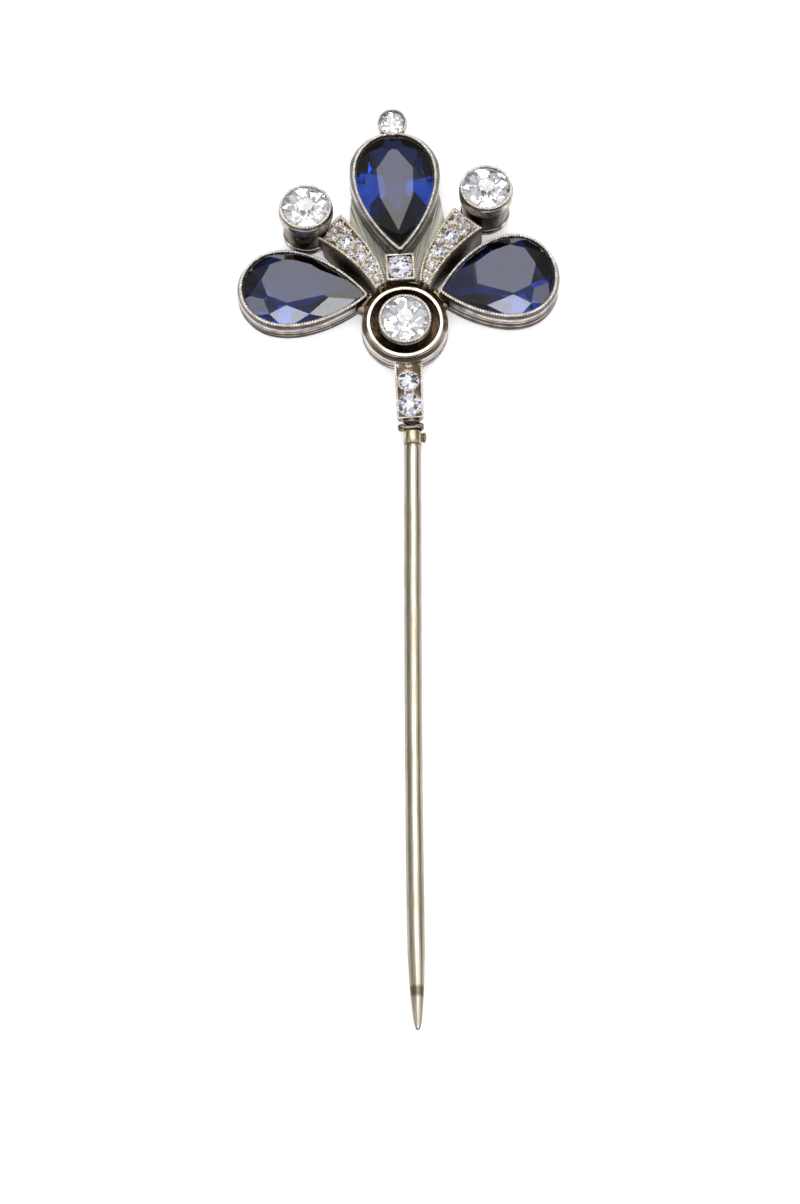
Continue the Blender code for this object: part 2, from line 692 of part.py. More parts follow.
def build_plate(head):
    side = [bezier(PLATE_SIDE, i / PLATE_POINTS) for i in range(PLATE_POINTS + 1)]
    rim = pear(TOP_PEAR["length"], TOP_PEAR["width"])(PLATE_REACH)
    crest = [Vector((x, y + TOP_PEAR["tip"][1])) for x, y in rim if x > 0]
    crest = [p for p in crest if p.y > side[0].y + 0.5]
    crest.sort(key=lambda p: -p.y)
    turn = math.atan2(side[-1].x, side[-1].y)
    arc = [turn * (1 - i / PLATE_ARC_POINTS) for i in range(PLATE_ARC_POINTS + 1)]
    foot = [Vector((math.sin(a), math.cos(a))) * (RING_WALL + 2 * GAP) for a in arc]
    right = crest + side + foot
    left = [Vector((-p.x, p.y)) for p in reversed(right[:-1])]
    outline = [(p.x, p.y) for p in right + left]
    plate = mesh_object("back_plate", prism(outline, 0.0, PLATE_TOP), MATERIALS["platinum"], head)
    hole = plug(
        pear(TOP_PEAR["length"], TOP_PEAR["width"]), ((PLATE_OPENING, -1.0), (PLATE_OPENING, 1.0))
    )
    boolean(plate, cutter("plate_opening", hole, head, place(*TOP_PEAR["tip"])), "DIFFERENCE")


def make_frames():
    """The head's empty leans about the world origin; the stem's empty stands at the joint."""
    lean = Matrix.Rotation(math.radians(HEAD_LEAN), 4, "Z")
    head = bpy.data.objects.new("head_frame", None)
    head.location = lean @ Vector((0, -REST_POINT_Y, 0)) * MM
    head.rotation_euler = lean.to_euler()
    stem = bpy.data.objects.new("stem_frame", None)
    stem.location = lean @ Vector((0, COLLAR_END - GAP - REST_POINT_Y, 0)) * MM
    for empty in (head, stem):
        bpy.context.scene.collection.objects.link(empty)
    return head, stem


clear_scene()
MATERIALS = {
    "platinum": make_material("platinum", (0.62, 0.6, 0.57), 1.0, 0.22),
    "white_gold": make_material("white_gold", (0.42, 0.4, 0.33), 1.0, 0.35),
    "gold": make_material("gold", (0.72, 0.55, 0.26), 1.0, 0.3),
    "sapphire": make_material("sapphire", (0.01, 0.03, 0.25), 0.0, 0.03),
    "diamond": make_material("diamond", (0.95, 0.95, 0.97), 0.0, 0.02, 0.8),
}
head_frame, stem_frame = make_frames()
top_collet = pear_setting("top_pear", TOP_PEAR, head_frame)
pear_setting("left_pear", LEFT_PEAR, head_frame)
pear_setting("right_pear", RIGHT_PEAR, head_frame)
build_crown(head_frame)
notch_for_crown(top_collet, head_frame)
build_center(head_frame)
for side, mirror, collet in (("left", -1, LEFT_ROUND), ("right", 1, RIGHT_ROUND)):
    build_round_setting(side, collet, head_frame)
    build_arm(side, mirror, collet, head_frame)
build_box(head_frame)
build_bar(head_frame)
build_joint(head_frame, stem_frame)
build_stem(stem_frame)
build_plate(head_frame)
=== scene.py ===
"""A sapphire and diamond stick pin lying on a white table, under soft studio light."""

import math
import random

import bmesh
import bpy
import numpy as np
from mathutils import Matrix, Vector, noise


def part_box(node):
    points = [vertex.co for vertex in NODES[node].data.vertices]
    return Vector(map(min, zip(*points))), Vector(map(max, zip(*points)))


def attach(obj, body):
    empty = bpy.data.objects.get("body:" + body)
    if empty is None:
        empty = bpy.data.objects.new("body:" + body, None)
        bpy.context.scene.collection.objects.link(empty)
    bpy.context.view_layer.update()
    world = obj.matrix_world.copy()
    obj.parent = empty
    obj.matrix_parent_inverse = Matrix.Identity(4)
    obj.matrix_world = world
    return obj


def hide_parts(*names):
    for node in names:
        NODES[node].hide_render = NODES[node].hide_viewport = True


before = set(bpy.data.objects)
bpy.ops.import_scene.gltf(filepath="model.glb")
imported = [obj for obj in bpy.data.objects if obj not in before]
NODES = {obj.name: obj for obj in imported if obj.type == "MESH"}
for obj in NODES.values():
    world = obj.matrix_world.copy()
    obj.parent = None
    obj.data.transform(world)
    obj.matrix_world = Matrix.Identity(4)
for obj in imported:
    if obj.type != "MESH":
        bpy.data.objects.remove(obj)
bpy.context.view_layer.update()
MM = 0.001
random.seed(7)

# Tones darken a metal's own colour to paint light and shade on it: bright, cream and lilac bands are painted
# highlights and reflections; brown, umber and black are painted shade in recesses, under edges and on walls turned
# from the light; gilt is the gold tint of some grains
BRIGHT = (1.0, 1.0, 1.0)
CREAM = (0.95, 0.9, 0.82)
MID = (0.62, 0.59, 0.57)
DULL = (0.4, 0.36, 0.33)
BROWN = (0.17, 0.13, 0.1)
DARK = (0.045, 0.036, 0.03)
FIELD = (0.3, 0.25, 0.17)
GILT = (0.6, 0.5, 0.33)
LILAC = (0.95, 0.94, 1.0)
UMBER = (0.24, 0.18, 0.12)

# Shape of the solid model, with its lengths in millimetres
PEAR_BELLY = 1.8
TIP_FLARE = 0.15
TIP_INSET = 1.45
STONE_INSET = 0.36
GIRDLE_DROP = 0.42
PEAR_CROWN = 0.85
COLLET_DEPTH = 1.4
FLARE = 0.35
ARM_INNER = ((1.38, 3.17), (1.42, 5.0), (2.85, 7.0), (4.34, 8.66))
ARM_OUTER = ((2.0, 2.74), (2.85, 4.3), (4.3, 5.7), (6.36, 6.84))
ARM_LOW = 0.35
ARM_NEAR = 2.4
ARM_SLOPE = 0.16
ARM_CUP = 1.95
ARM_SINK = 0.14
RING_WALL = 3.31

# Where the photo's stones stand higher or wider than the solids
CENTRE_STONE_LIFT = 0.2
ROUND_STONE_LIFT = 0.13
ROUND_STONE_SCALE = 1.01
ARM_STONE_SCALE = 0.97
BOX_STONE_SCALE = 1.12
BAR_STONE_SCALE = 1.2


# ---- reading the solid model


def points_of(node):
    """The node's corner points in millimetres, each once."""
    co = np.array([v.co for v in NODES[node].data.vertices]) / MM
    return np.unique(np.round(co, 3), axis=0)


def along(normal):
    return Vector((0, 0, 1)).rotation_difference(Vector(normal)).to_matrix().to_4x4()


def stone_frame(node):
    """Matrix at a round stone's girdle with +Z out of its table, and its radius."""
    pts = points_of(node)
    middle = pts.mean(axis=0)
    spread = np.cov((pts - middle).T)
    axis = np.linalg.eigh(spread)[1][:, 0]
    axis = axis * np.sign(axis[2])
    height = (pts - middle) @ axis
    away = np.linalg.norm((pts - middle) - height[:, None] * axis, axis=1)
    radius = away.max()
    top = height[away > 0.98 * radius].max()
    return Matrix.Translation(Vector(middle + axis * top)) @ along(axis), float(radius)


def pear_frame(side):
    """Matrix at a pear setting's tip with +Y towards its round end, and its sizes."""
    pts = points_of(f"{side}_sapphire")
    flat = pts[:, :2]
    middle = flat.mean(axis=0)
    tip = flat[np.linalg.norm(flat - middle, axis=1).argmax()]
    up = (middle - tip) / np.linalg.norm(middle - tip)
    across = np.array((up[1], -up[0]))
    long, wide = flat @ up, flat @ across
    tip = tip - up * STONE_INSET * TIP_INSET
    turn = math.degrees(math.atan2(-up[0], up[1]))
    girdle = pts[:, 2].max() - PEAR_CROWN
    low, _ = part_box(f"{side}_pear_base_rail")
    return {
        "matrix": Matrix.Translation((tip[0], tip[1], 0)) @ Matrix.Rotation(math.radians(turn), 4, "Z"),
        "length": float(np.ptp(long)) + STONE_INSET * (1 + TIP_INSET),
        "width": float(np.ptp(wide)) + 2 * STONE_INSET,
        "top": float(girdle + GIRDLE_DROP),
        "base": low.z / MM,
        "turn": turn,
    }


PEARS = {side: pear_frame(side) for side in ("top", "left", "right")}
RING_LOW, RING_HIGH = (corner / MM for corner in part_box("center_ring"))
RING_MIDDLE = (RING_LOW + RING_HIGH) / 2
HEAD = Matrix.Translation((RING_MIDDLE.x, RING_MIDDLE.y, 0)) @ Matrix.Rotation(
    math.radians(PEARS["top"]["turn"]), 4, "Z"
)


# ---- mesh building


class Build:
    """Collects faces with a tone for each corner point and a place on the unrolled surface."""

    def __init__(self):
        self.points, self.tones, self.faces, self.places = [], [], [], []

    def add(self, points, tones, faces, places=None):
        start = len(self.points)
        self.points.extend(points)
        self.tones.extend(tones)
        for k, face in enumerate(faces):
            self.faces.append([start + i for i in face])
            self.places.append(places[k] if places else [(0.0, 0.0)] * len(face))

    def loft(self, rows, tones, stacked=False, capped=False):
        """Skins closed rows of points; stacked joins the last row to the first."""
        count = len(rows[0])
        base = len(self.points)
        for row, tone in zip(rows, tones):
            self.points.extend(row)
            self.tones.extend(tone if isinstance(tone, list) else [tone] * count)
        first = rows[0]
        across = [0.0]
        for i in range(count):
            across.append(across[-1] + (first[(i + 1) % count] - first[i]).length)
        down = [0.0]
        for a, b in zip(rows, rows[1:] + rows[:1]):
            down.append(down[-1] + (b[0] - a[0]).length)
        last = len(rows) if stacked else len(rows) - 1
        for j in range(last):
            k = (j + 1) % len(rows)
            for i in range(count):
                n = (i + 1) % count
                self.faces.append([base + j * count + i, base + j * count + n,
                                   base + k * count + n, base + k * count + i])
                self.places.append([(across[i], down[j]), (across[i + 1], down[j]),
                                    (across[i + 1], down[j + 1]), (across[i], down[j + 1])])
        if capped:
            for j in (0, len(rows) - 1):
                self.faces.append([base + j * count + i for i in range(count)])
                self.places.append([(p.x, p.y) for p in rows[j]])

    def piece(self, name, material, slot, replaces=(), matrix=None, smooth=None, rough=0.0, loose=False):
        """Makes the object in the row's frame; rough is the size of its handmade unevenness."""
        turn = matrix or Matrix.Identity(4)
        placed = [turn @ Vector(p) for p in self.points]
        if rough:
            placed = [p + noise.noise_vector(p * 0.9) * rough + noise.noise_vector(p * 3.1) * rough * 0.4
                      for p in placed]
        mesh = bpy.data.meshes.new(name)
        mesh.from_pydata([p * MM for p in placed], [], self.faces)
        paint = mesh.color_attributes.new("tone", "FLOAT_COLOR", "POINT")
        paint.data.foreach_set("color", [c for tone in self.tones for c in (*tone, 1.0)])
        layer = mesh.uv_layers.new(name="unrolled")
        layer.data.foreach_set("uv", [c for place in self.places for uv in place for c in uv])
        if not loose:
            bm = bmesh.new()
            bm.from_mesh(mesh)
            bmesh.ops.recalc_face_normals(bm, faces=bm.faces)
            bm.to_mesh(mesh)
            bm.free()
        obj = bpy.data.objects.new(name, mesh)
        bpy.context.scene.collection.objects.link(obj)
        mesh.materials.append(material)
        if smooth is not None:
            mesh.shade_smooth()
            mesh.set_sharp_from_angle(angle=math.radians(smooth))
        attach(obj, "root")
        if replaces:
            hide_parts(*replaces)
        return obj


def circle(radius, count=144):
    def outline(offset):
        r = radius + offset
        return [(r * math.cos(math.tau * i / count), r * math.sin(math.tau * i / count)) for i in range(count)]

    return outline


def pear(length, width, count=220):
    widest = (PEAR_BELLY / (PEAR_BELLY + 1)) ** (PEAR_BELLY / 2) / math.sqrt(PEAR_BELLY + 1)

    def outline(offset):
        shift = offset * (TIP_FLARE if offset > 0 else TIP_INSET)
        half = width / 2 + offset
        points = []
        for i in range(count):
            u = math.pi * i / count
            x = -half * math.sin(u) ** PEAR_BELLY * math.cos(u) / widest
            points.append((x, (length + offset + shift) * math.sin(u) ** 2 - shift))
        return points

    return outline


def soften(profile, radius):
    """Rounds each corner of a profile of (offset, height, tone), with a support point on each side."""
    out = []
    count = len(profile)
    for i, (x, z, tone) in enumerate(profile):
        p = Vector((x, z))
        before = Vector(profile[i - 1][:2]) - p
        after = Vector(profile[(i + 1) % count][:2]) - p
        d = min(radius, 0.3 * before.length, 0.3 * after.length)
        a, b = p + before.normalized() * d, p + after.normalized() * d
        if before.length > 5 * d:
            s = a + before.normalized() * d
            out.append((s.x, s.y, tone))
        for t in (0.0, 0.33, 0.67, 1.0):
            q = a * (1 - t) ** 2 + p * (2 * t * (1 - t)) + b * t * t
            out.append((q.x, q.y, tone))
        if after.length > 5 * d:
            s = b + after.normalized() * d
            out.append((s.x, s.y, tone))
    return out


def hoop(outline, profile, radius=0.035):
    build = Build()
    profile = soften(profile, radius)
    rows = [[Vector((x, y, z)) for x, y in outline(offset)] for offset, z, _ in profile]
    build.loft(rows, [tone for _, _, tone in profile], stacked=True)
    return build


def template(kind):
    bm = bmesh.new()
    bmesh.ops.create_icosphere(bm, subdivisions=kind, radius=1.0)
    points = [v.co.copy() for v in bm.verts]
    faces = [[v.index for v in f.verts] for f in bm.faces]
    bm.free()
    return points, faces


BEAD = template(2)


def bead(build, spot, forward, up, size, tone=BRIGHT):
    """A small raised grain; size is (along, across, high)."""
    up = up.normalized()
    side = up.cross(forward).normalized()
    forward = side.cross(up)
    points, faces = BEAD
    tilt = Vector([random.uniform(-0.12, 0.12) for _ in range(3)])
    made = []
    for p in points:
        q = p + tilt * (p.x * p.y)
        made.append(spot + forward * (q.x * size[0]) + side * (q.y * size[1]) + up * (q.z * size[2]))
    # The underside of each bead is toned dull as painted shade.
    build.add(made, [tone if p.z > -0.3 else DULL for p in points], faces)


def milgrain(build, path, size=0.13, pitch=0.21, closed=True, worn=0.12, sink=0.25, tone=BRIGHT):
    """A row of beads rolled along an edge, some of them worn flat."""
    ring = list(path) + ([path[0]] if closed else [])
    cum = [0.0]
    for a, b in zip(ring, ring[1:]):
        cum.append(cum[-1] + (b - a).length)
    count = max(2, round(cum[-1] / pitch))
    k = 0
    for n in range(count):
        s = cum[-1] * (n + 0.5) / count
        while cum[k + 1] < s:
            k += 1
        t = (s - cum[k]) / (cum[k + 1] - cum[k])
        spot = ring[k].lerp(ring[k + 1], t)
        forward = (ring[k + 1] - ring[k]).normalized()
        up = Vector((0, 0, 1))
        grow = random.uniform(0.88, 1.06)
        high = size * (0.55 if random.random() < worn else random.uniform(0.82, 1.0))
        bead(build, spot - up * size * sink, forward, up, (size * 0.92, size * grow, high), tone)


# ---- stones


def cut_stone(outline, cuts, low, high):
    """Facets a prism on the outline by planes (point, normal), as a lapidary grinds them."""
    bm = bmesh.new()
    loops = [[bm.verts.new((x, y, z)) for x, y in outline] for z in (low, high)]
    for i in range(len(outline)):
        j = (i + 1) % len(outline)
        bm.faces.new((loops[0][i], loops[0][j], loops[1][j], loops[1][i]))
    bm.faces.new(loops[0])
    bm.faces.new(loops[1])
    for point, normal in cuts:
        geom = bm.verts[:] + bm.edges[:] + bm.faces[:]
        made = bmesh.ops.bisect_plane(
            bm, geom=geom, dist=1e-5, plane_co=point, plane_no=normal, clear_outer=True
        )
        edges = [g for g in made["geom_cut"] if isinstance(g, bmesh.types.BMEdge) and g.is_boundary]
        if edges:
            bmesh.ops.contextual_create(bm, geom=edges)
    bmesh.ops.remove_doubles(bm, verts=bm.verts, dist=1e-4)
    bmesh.ops.recalc_face_normals(bm, faces=bm.faces)
    bm.verts.index_update()
    points = [v.co.copy() for v in bm.verts]
    faces = [[v.index for v in f.verts] for f in bm.faces]
    bm.free()
    return points, faces


def tangent_cut(outline, azimuth, angle, z, lift=0.0):
    """A plane through the outline's outermost point towards an azimuth; its slope is measured from level."""
    a, s = math.radians(azimuth), math.radians(angle)
    way = Vector((math.cos(a), math.sin(a)))
    reach = max(Vector(p).dot(way) for p in outline)
    normal = Vector((way.x * math.sin(abs(s)), way.y * math.sin(abs(s)), math.copysign(math.cos(s), s)))
    return Vector((way.x * reach, way.y * reach, z)) + Vector((way.x, way.y, 0)) * lift, normal


def old_cut():
    """An old European round of radius 1: small table, high crown, open culet, facets ground by eye."""
    count = 48
    rim = [(math.cos(math.tau * i / count), math.sin(math.tau * i / count)) for i in range(count)]
    cuts = [(Vector((0, 0, 0.34)), Vector((0, 0, 1))), (Vector((0, 0, -0.88)), Vector((0, 0, -1)))]

    def by_eye(azimuth, angle, z, lift=0.0):
        cuts.append(tangent_cut(rim, azimuth + random.uniform(-2, 2), angle + random.uniform(-1, 1), z, lift))

    for k in range(8):
        by_eye(45 * k, 35.3, 0.0)
        by_eye(45 * k + 22.5, 24.0, 0.0, 0.11)
    for k in range(16):
        by_eye(22.5 * k + 11.25, 41.0, 0.0, 0.012)
    for k in range(11):
        azimuth = 360 * k / 11 + random.uniform(-5, 5)
        by_eye(azimuth, -random.uniform(39.5, 43.5), -0.04, random.uniform(-0.03, 0.0))
        by_eye(azimuth + 16, -47.0, -0.04, 0.02)
        by_eye(azimuth + random.uniform(5, 20), -random.uniform(29, 34), -0.04, 0.4)
    return cut_stone(rim, cuts, -1.0, 0.6)


OLD_CUT = old_cut()


def crown_cuts(rim, mains, high, joins, star_drop):
    """Kite facets at the given azimuths and angles. Between neighbours marked True the star facet above and
    the two girdle facets below all meet at one point of the ridge."""
    cuts = [tangent_cut(rim, azimuth, angle, 0.0) for azimuth, angle in mains]

    def reach(azimuth):
        way = Vector((math.cos(math.radians(azimuth)), math.sin(math.radians(azimuth))))
        return way, max(Vector(p).dot(way) for p in rim)

    for k, joined in enumerate(joins):
        if not joined:
            continue
        (first, slope_1), (second, slope_2) = mains[k], mains[(k + 1) % len(mains)]
        second += 360 * round((first - second) / 360)
        z = high * 0.52
        (a, far_a), (b, far_b) = reach(first), reach(second)
        u = far_a - z / math.tan(math.radians(slope_1))
        v = far_b - z / math.tan(math.radians(slope_2))
        cross = a.x * b.y - a.y * b.x
        meet = Vector(((u * b.y - v * a.y) / cross, (a.x * v - b.x * u) / cross))
        middle = (first + second) / 2
        s, m = math.radians((slope_1 + slope_2) / 2 - star_drop), math.radians(middle)
        cuts.append((Vector((meet.x, meet.y, z)),
                     Vector((math.cos(m) * math.sin(s), math.sin(m) * math.sin(s), math.cos(s)))))
        for share in (0.27, 0.73):
            azimuth = first + (second - first) * share
            way, far = reach(azimuth)
            cuts.append(tangent_cut(rim, azimuth, math.degrees(math.atan2(z, far - way.dot(meet))), 0.0))
    return cuts


def pear_cut(size, grow, side):
    """A pear-shaped mixed cut with its girdle at height 0 and its tip at the bottom."""
    rim = pear(size["length"], size["width"], 96)(grow - 0.15)
    deep, high = -1.62, PEAR_CROWN - 0.12
    cuts = [(Vector((0, 0, high)), Vector((0, 0, 1))), (Vector((0, 0, deep)), Vector((0, 0, -1)))]
    mains = {
        "top": ((-24, 29), (16, 25), (55, 27), (90, 32), (126, 27), (164, 25), (203, 29)),
        "left": ((-78, 13), (-28, 38), (6, 38), (47, 33), (90, 27), (140, 27), (185, 26.7), (211, 29.2)),
        "right": ((-98, 15), (-47, 24), (-10, 26.7), (40, 27), (88, 27), (133, 34), (172, 37), (206, 36)),
    }
    kites = mains[side]
    joins = [0 <= k - (side != "top") < 6 for k in range(len(kites))]
    cuts += crown_cuts(rim, kites, high, joins, 11.0)
    for azimuth in (-31, -37, -43, -49, -55, 211, 217, 223, 229, 235):
        cuts.append(tangent_cut(rim, azimuth, 46.0, 0.0))
    for azimuth in (84, 60, 34, 14, -8, -26, -46, 226, 206, 188, 166, 146, 120, 96):
        cuts.append(tangent_cut(rim, azimuth, -50.0, -0.12, lift=0.02))
    steps = ((-41.0, -0.04), (-46.0, 0.0), (-37.0, -0.18))
    for k, azimuth in enumerate((72, 60, 47, 35, 24, 12, 3, -8, -17, -27, -36, 216, 206, 197, 187, 177, 166, 156,
                                 144, 133, 120, 108)):
        angle, lift = steps[k % 3]
        cuts.append(tangent_cut(rim, azimuth, angle, -0.12, lift=lift))
        cuts.append(tangent_cut(rim, azimuth + 5, -29.0 - 2 * (k % 3), -0.12, lift=0.6))
    cuts.append(tangent_cut(rim, -90, -32.0, -0.12))
    return cut_stone(rim, cuts, deep - 1, 3.0)


# Painted facet light: each facet gets one of these tones, from painted highlight to painted shade.
SPARKS = (
    (1.0, 1.0, 1.0), (1.0, 1.0, 1.0), (0.75, 0.78, 0.84), (0.36, 0.38, 0.44), (0.13, 0.14, 0.17), (0.03, 0.03, 0.04),
)


def add_sparks(build, cut, matrix, scale):
    """Adds a small stone whose facets are painted bright or dark at random, as painted highlights and reflections.
    Its table shows the facets behind it as a ring of wedges round a star, with painted highlights at the star."""
    points, faces = cut
    for face in faces:
        corners = [points[i] * scale for i in face]
        middle = sum(corners, Vector()) / len(corners)
        parts = [[corners[i], corners[(i + 1) % len(corners)], middle] for i in range(len(corners))]
        if len(face) > 7 and middle.z > 0:
            inner = [middle.lerp(p, random.uniform(0.4, 0.6)) for p in corners]
            parts = []
            for i in range(len(corners)):
                j = (i + 1) % len(corners)
                half = corners[i].lerp(corners[j], 0.5)
                parts += [[corners[i], half, inner[i]], [half, corners[j], inner[j]], [half, inner[j], inner[i]],
                          [inner[i], inner[j], middle]]
        for part in parts:
            tone = random.choice(SPARKS[:3] if middle in part and len(face) > 7 else SPARKS)
            build.add([matrix @ p for p in part], [tone] * len(part), [list(range(len(part)))])


def set_stone(name, cut, matrix, scale, material, slot, replaces):
    build = Build()
    if material is SPARKLE:
        add_sparks(build, cut, Matrix.Identity(4), scale)
    else:
        points, faces = cut
        # Each facet gets a random painted tone; the diamond material gives it off as painted light.
        for face in faces:
            build.add([points[i] * scale for i in face], [random.choice(SPARKS)] * len(face),
                      [list(range(len(face)))])
    return build.piece(name, material, slot, replaces, matrix, loose=True)


# ---- materials


def shader_nodes(name):
    material = bpy.data.materials.new(name)
    material.use_nodes = True
    tree = material.node_tree
    return material, tree, tree.nodes["Principled BSDF"]


def link(tree, source, target):
    tree.links.new(source, target)


def noise_node(tree, coords, scale, detail=4.0, rough=0.6, stretch=(1, 1, 1)):
    mapping = tree.nodes.new("ShaderNodeMapping")
    mapping.inputs["Scale"].default_value = stretch
    link(tree, coords, mapping.inputs["Vector"])
    node = tree.nodes.new("ShaderNodeTexNoise")
    node.inputs["Scale"].default_value = scale
    node.inputs["Detail"].default_value = detail
    node.inputs["Roughness"].default_value = rough
    link(tree, mapping.outputs["Vector"], node.inputs["Vector"])
    return node.outputs["Fac"]


def ramp(tree, source, stops):
    node = tree.nodes.new("ShaderNodeValToRGB")
    elements = node.color_ramp.elements
    while len(elements) < len(stops):
        elements.new(0.5)
    for element, (place, color) in zip(elements, stops):
        element.position = place
        element.color = (*color, 1.0) if len(color) == 3 else color
    link(tree, source, node.inputs["Fac"])
    return node.outputs["Color"]


def mix(tree, kind, first, second, factor=1.0):
    node = tree.nodes.new("ShaderNodeMix")
    node.data_type = "RGBA"
    node.blend_type = kind
    if isinstance(factor, float):
        node.inputs["Factor"].default_value = factor
    else:
        link(tree, factor, node.inputs["Factor"])
    for value, socket in ((first, node.inputs["A"]), (second, node.inputs["B"])):
        if isinstance(value, tuple):
            socket.default_value = (*value, 1.0)
        else:
            link(tree, value, socket)
    return node.outputs["Result"]


def metal(name, color, tarnish, rough, marks="unrolled", mark_scale=(7.0, 0.8), bump=0.12, patch=900.0,
          has_tone=True):
    """Worn jewellery metal: tarnish in random patches, each part's painted light and shade from its tone, tool marks
    across each band, fine pits.
    """
    material, tree, shader = shader_nodes(name)
    nodes = tree.nodes
    coords = nodes.new("ShaderNodeTexCoord")
    place = nodes.new("ShaderNodeUVMap")
    place.uv_map = "unrolled"
    patches = noise_node(tree, coords.outputs["Object"], patch, 5.0, 0.65)
    worn = ramp(tree, patches, ((0.36, tarnish), (0.56, color)))
    # The tone multiplies painted light and shade into the colour: painted shade in recesses and painted highlights
    # and reflections on bands.
    if has_tone:
        tone = nodes.new("ShaderNodeVertexColor")
        tone.layer_name = "tone"
        worn = mix(tree, "MULTIPLY", worn, tone.outputs["Color"])
    stretch = (mark_scale[0], mark_scale[1], 1.0)
    source = place.outputs["UV"] if marks == "unrolled" else coords.outputs["Object"]
    streaks = noise_node(tree, source, 1.0, 3.0, 0.6, stretch)
    streaked = ramp(tree, streaks, ((0.3, (0.62, 0.58, 0.53)), (0.55, (1.0, 1.0, 1.0))))
    final = mix(tree, "MULTIPLY", worn, streaked, 0.75)
    link(tree, final, shader.inputs["Base Color"])
    shader.inputs["Metallic"].default_value = 1.0
    spread = ramp(tree, patches, ((0.3, (rough + 0.16,) * 3), (0.62, (rough,) * 3)))
    link(tree, spread, shader.inputs["Roughness"])
    pits = noise_node(tree, coords.outputs["Object"], 5200.0, 3.0, 0.7)
    height = mix(tree, "MIX", streaks, pits, 0.45)
    bump_node = nodes.new("ShaderNodeBump")
    bump_node.inputs["Strength"].default_value = bump
    bump_node.inputs["Distance"].default_value = 0.0001
    link(tree, height, bump_node.inputs["Height"])
    link(tree, bump_node.outputs["Normal"], shader.inputs["Normal"])
    return material


def sparkle():
    """Very small diamonds: facets painted bright or dark by turns as painted highlights and shade, with clear
    reflections.
    """
    material, tree, shader = shader_nodes("small_diamond")
    tone = tree.nodes.new("ShaderNodeVertexColor")
    tone.layer_name = "tone"
    link(tree, mix(tree, "MULTIPLY", tone.outputs["Color"], (0.96, 0.97, 1.0)), shader.inputs["Base Color"])
    shader.inputs["Metallic"].default_value = 0.0
    shader.inputs["Roughness"].default_value = 0.12
    shader.inputs["IOR"].default_value = 2.4
    return material


def gem(name, color, ior, tint, rough=0.02, painted_glow=0.0):
    """A clear stone; its emission is painted light, a faint self-lit shine from each facet's tone that stands for the
    light that many small facets keep inside it.
    """
    material, tree, shader = shader_nodes(name)
    coords = tree.nodes.new("ShaderNodeTexCoord")
    veil = noise_node(tree, coords.outputs["Object"], 700.0, 3.0, 0.6)
    link(tree, ramp(tree, veil, ((0.35, tint), (0.65, color))), shader.inputs["Base Color"])
    shader.inputs["Transmission Weight"].default_value = 1.0
    shader.inputs["IOR"].default_value = ior
    shader.inputs["Roughness"].default_value = rough
    # Painted light: each facet's tone is given off as light, though the stone is no lamp.
    if painted_glow:
        tone = tree.nodes.new("ShaderNodeVertexColor")
        tone.layer_name = "tone"
        link(tree, tone.outputs["Color"], shader.inputs["Emission Color"])
        shader.inputs["Emission Strength"].default_value = painted_glow
    return material


PLATINUM = metal("platinum", (0.66, 0.635, 0.61), (0.27, 0.235, 0.195), 0.2)
GRAIN = metal("grain_metal", (1.0, 0.97, 0.9), (0.86, 0.81, 0.72), 0.42, marks="object",
              mark_scale=(2500.0, 2500.0), bump=0.05)
POLISHED = metal("polished_platinum", (0.74, 0.71, 0.66), (0.5, 0.46, 0.41), 0.15, mark_scale=(0.35, 9.0), bump=0.06)
WHITE_GOLD = metal("white_gold", (0.96, 0.89, 0.71), (0.84, 0.76, 0.57), 0.3, mark_scale=(3.0, 0.2), bump=0.05,
                   patch=250.0)
PALE_GOLD = metal("pale_gold", (0.6, 0.53, 0.38), (0.44, 0.37, 0.25), 0.24)
GOLD_GRAIN = metal("gold_grain", (0.9, 0.74, 0.45), (0.5, 0.38, 0.2), 0.32, marks="object",
                   mark_scale=(2500.0, 2500.0), bump=0.05)
SAPPHIRE = gem("sapphire", (0.004, 0.026, 0.2), 1.7, (0.002, 0.01, 0.075))
DIAMOND = gem("diamond", (0.98, 0.98, 1.0), 2.2, (0.93, 0.94, 0.97), painted_glow=0.065)
SPARKLE = sparkle()


# ---- pear settings


def pear_rows(size, profile, grow, lift):
    """Rows round a pear outline. Above the setting's waist the rows grow and lift a little, and the flare
    fades on the side that faces the pin's top."""
    outline = pear(size["length"], size["width"])
    up = size["matrix"].to_3x3().inverted() @ Vector((0, 1, 0))
    up = Vector((up.x, up.y)).normalized()
    base = [Vector(p) for p in outline(0.0)]
    count = len(base)
    keep = []
    for i in range(count):
        along_rim = (base[(i + 1) % count] - base[i - 1]).normalized()
        normal = Vector((along_rim.y, -along_rim.x))
        facing = max(0.0, min(1.0, (normal.dot(up) + 0.25) / 0.9))
        keep.append(1.0 - 0.8 * facing)
    rows = []
    for offset, z, _ in profile:
        share = max(0.0, min(1.0, (z - (size["top"] - 0.85)) / 0.7))
        flat = outline(offset + grow * share)
        full = outline(grow * share)
        row = []
        for k, (x, y), (fx, fy) in zip(keep, flat, full):
            if offset > 0:
                x, y = fx + (x - fx) * k, fy + (y - fy) * k
            row.append(Vector((x + up.x * lift * share, y + up.y * lift * share, z)))
        rows.append(row)
    return rows


def pear_hoop(size, profile, grow, lift, radius=0.035):
    profile = soften(profile, radius)
    build = Build()
    build.loft(pear_rows(size, profile, grow, lift), [tone for _, _, tone in profile], stacked=True)
    return build


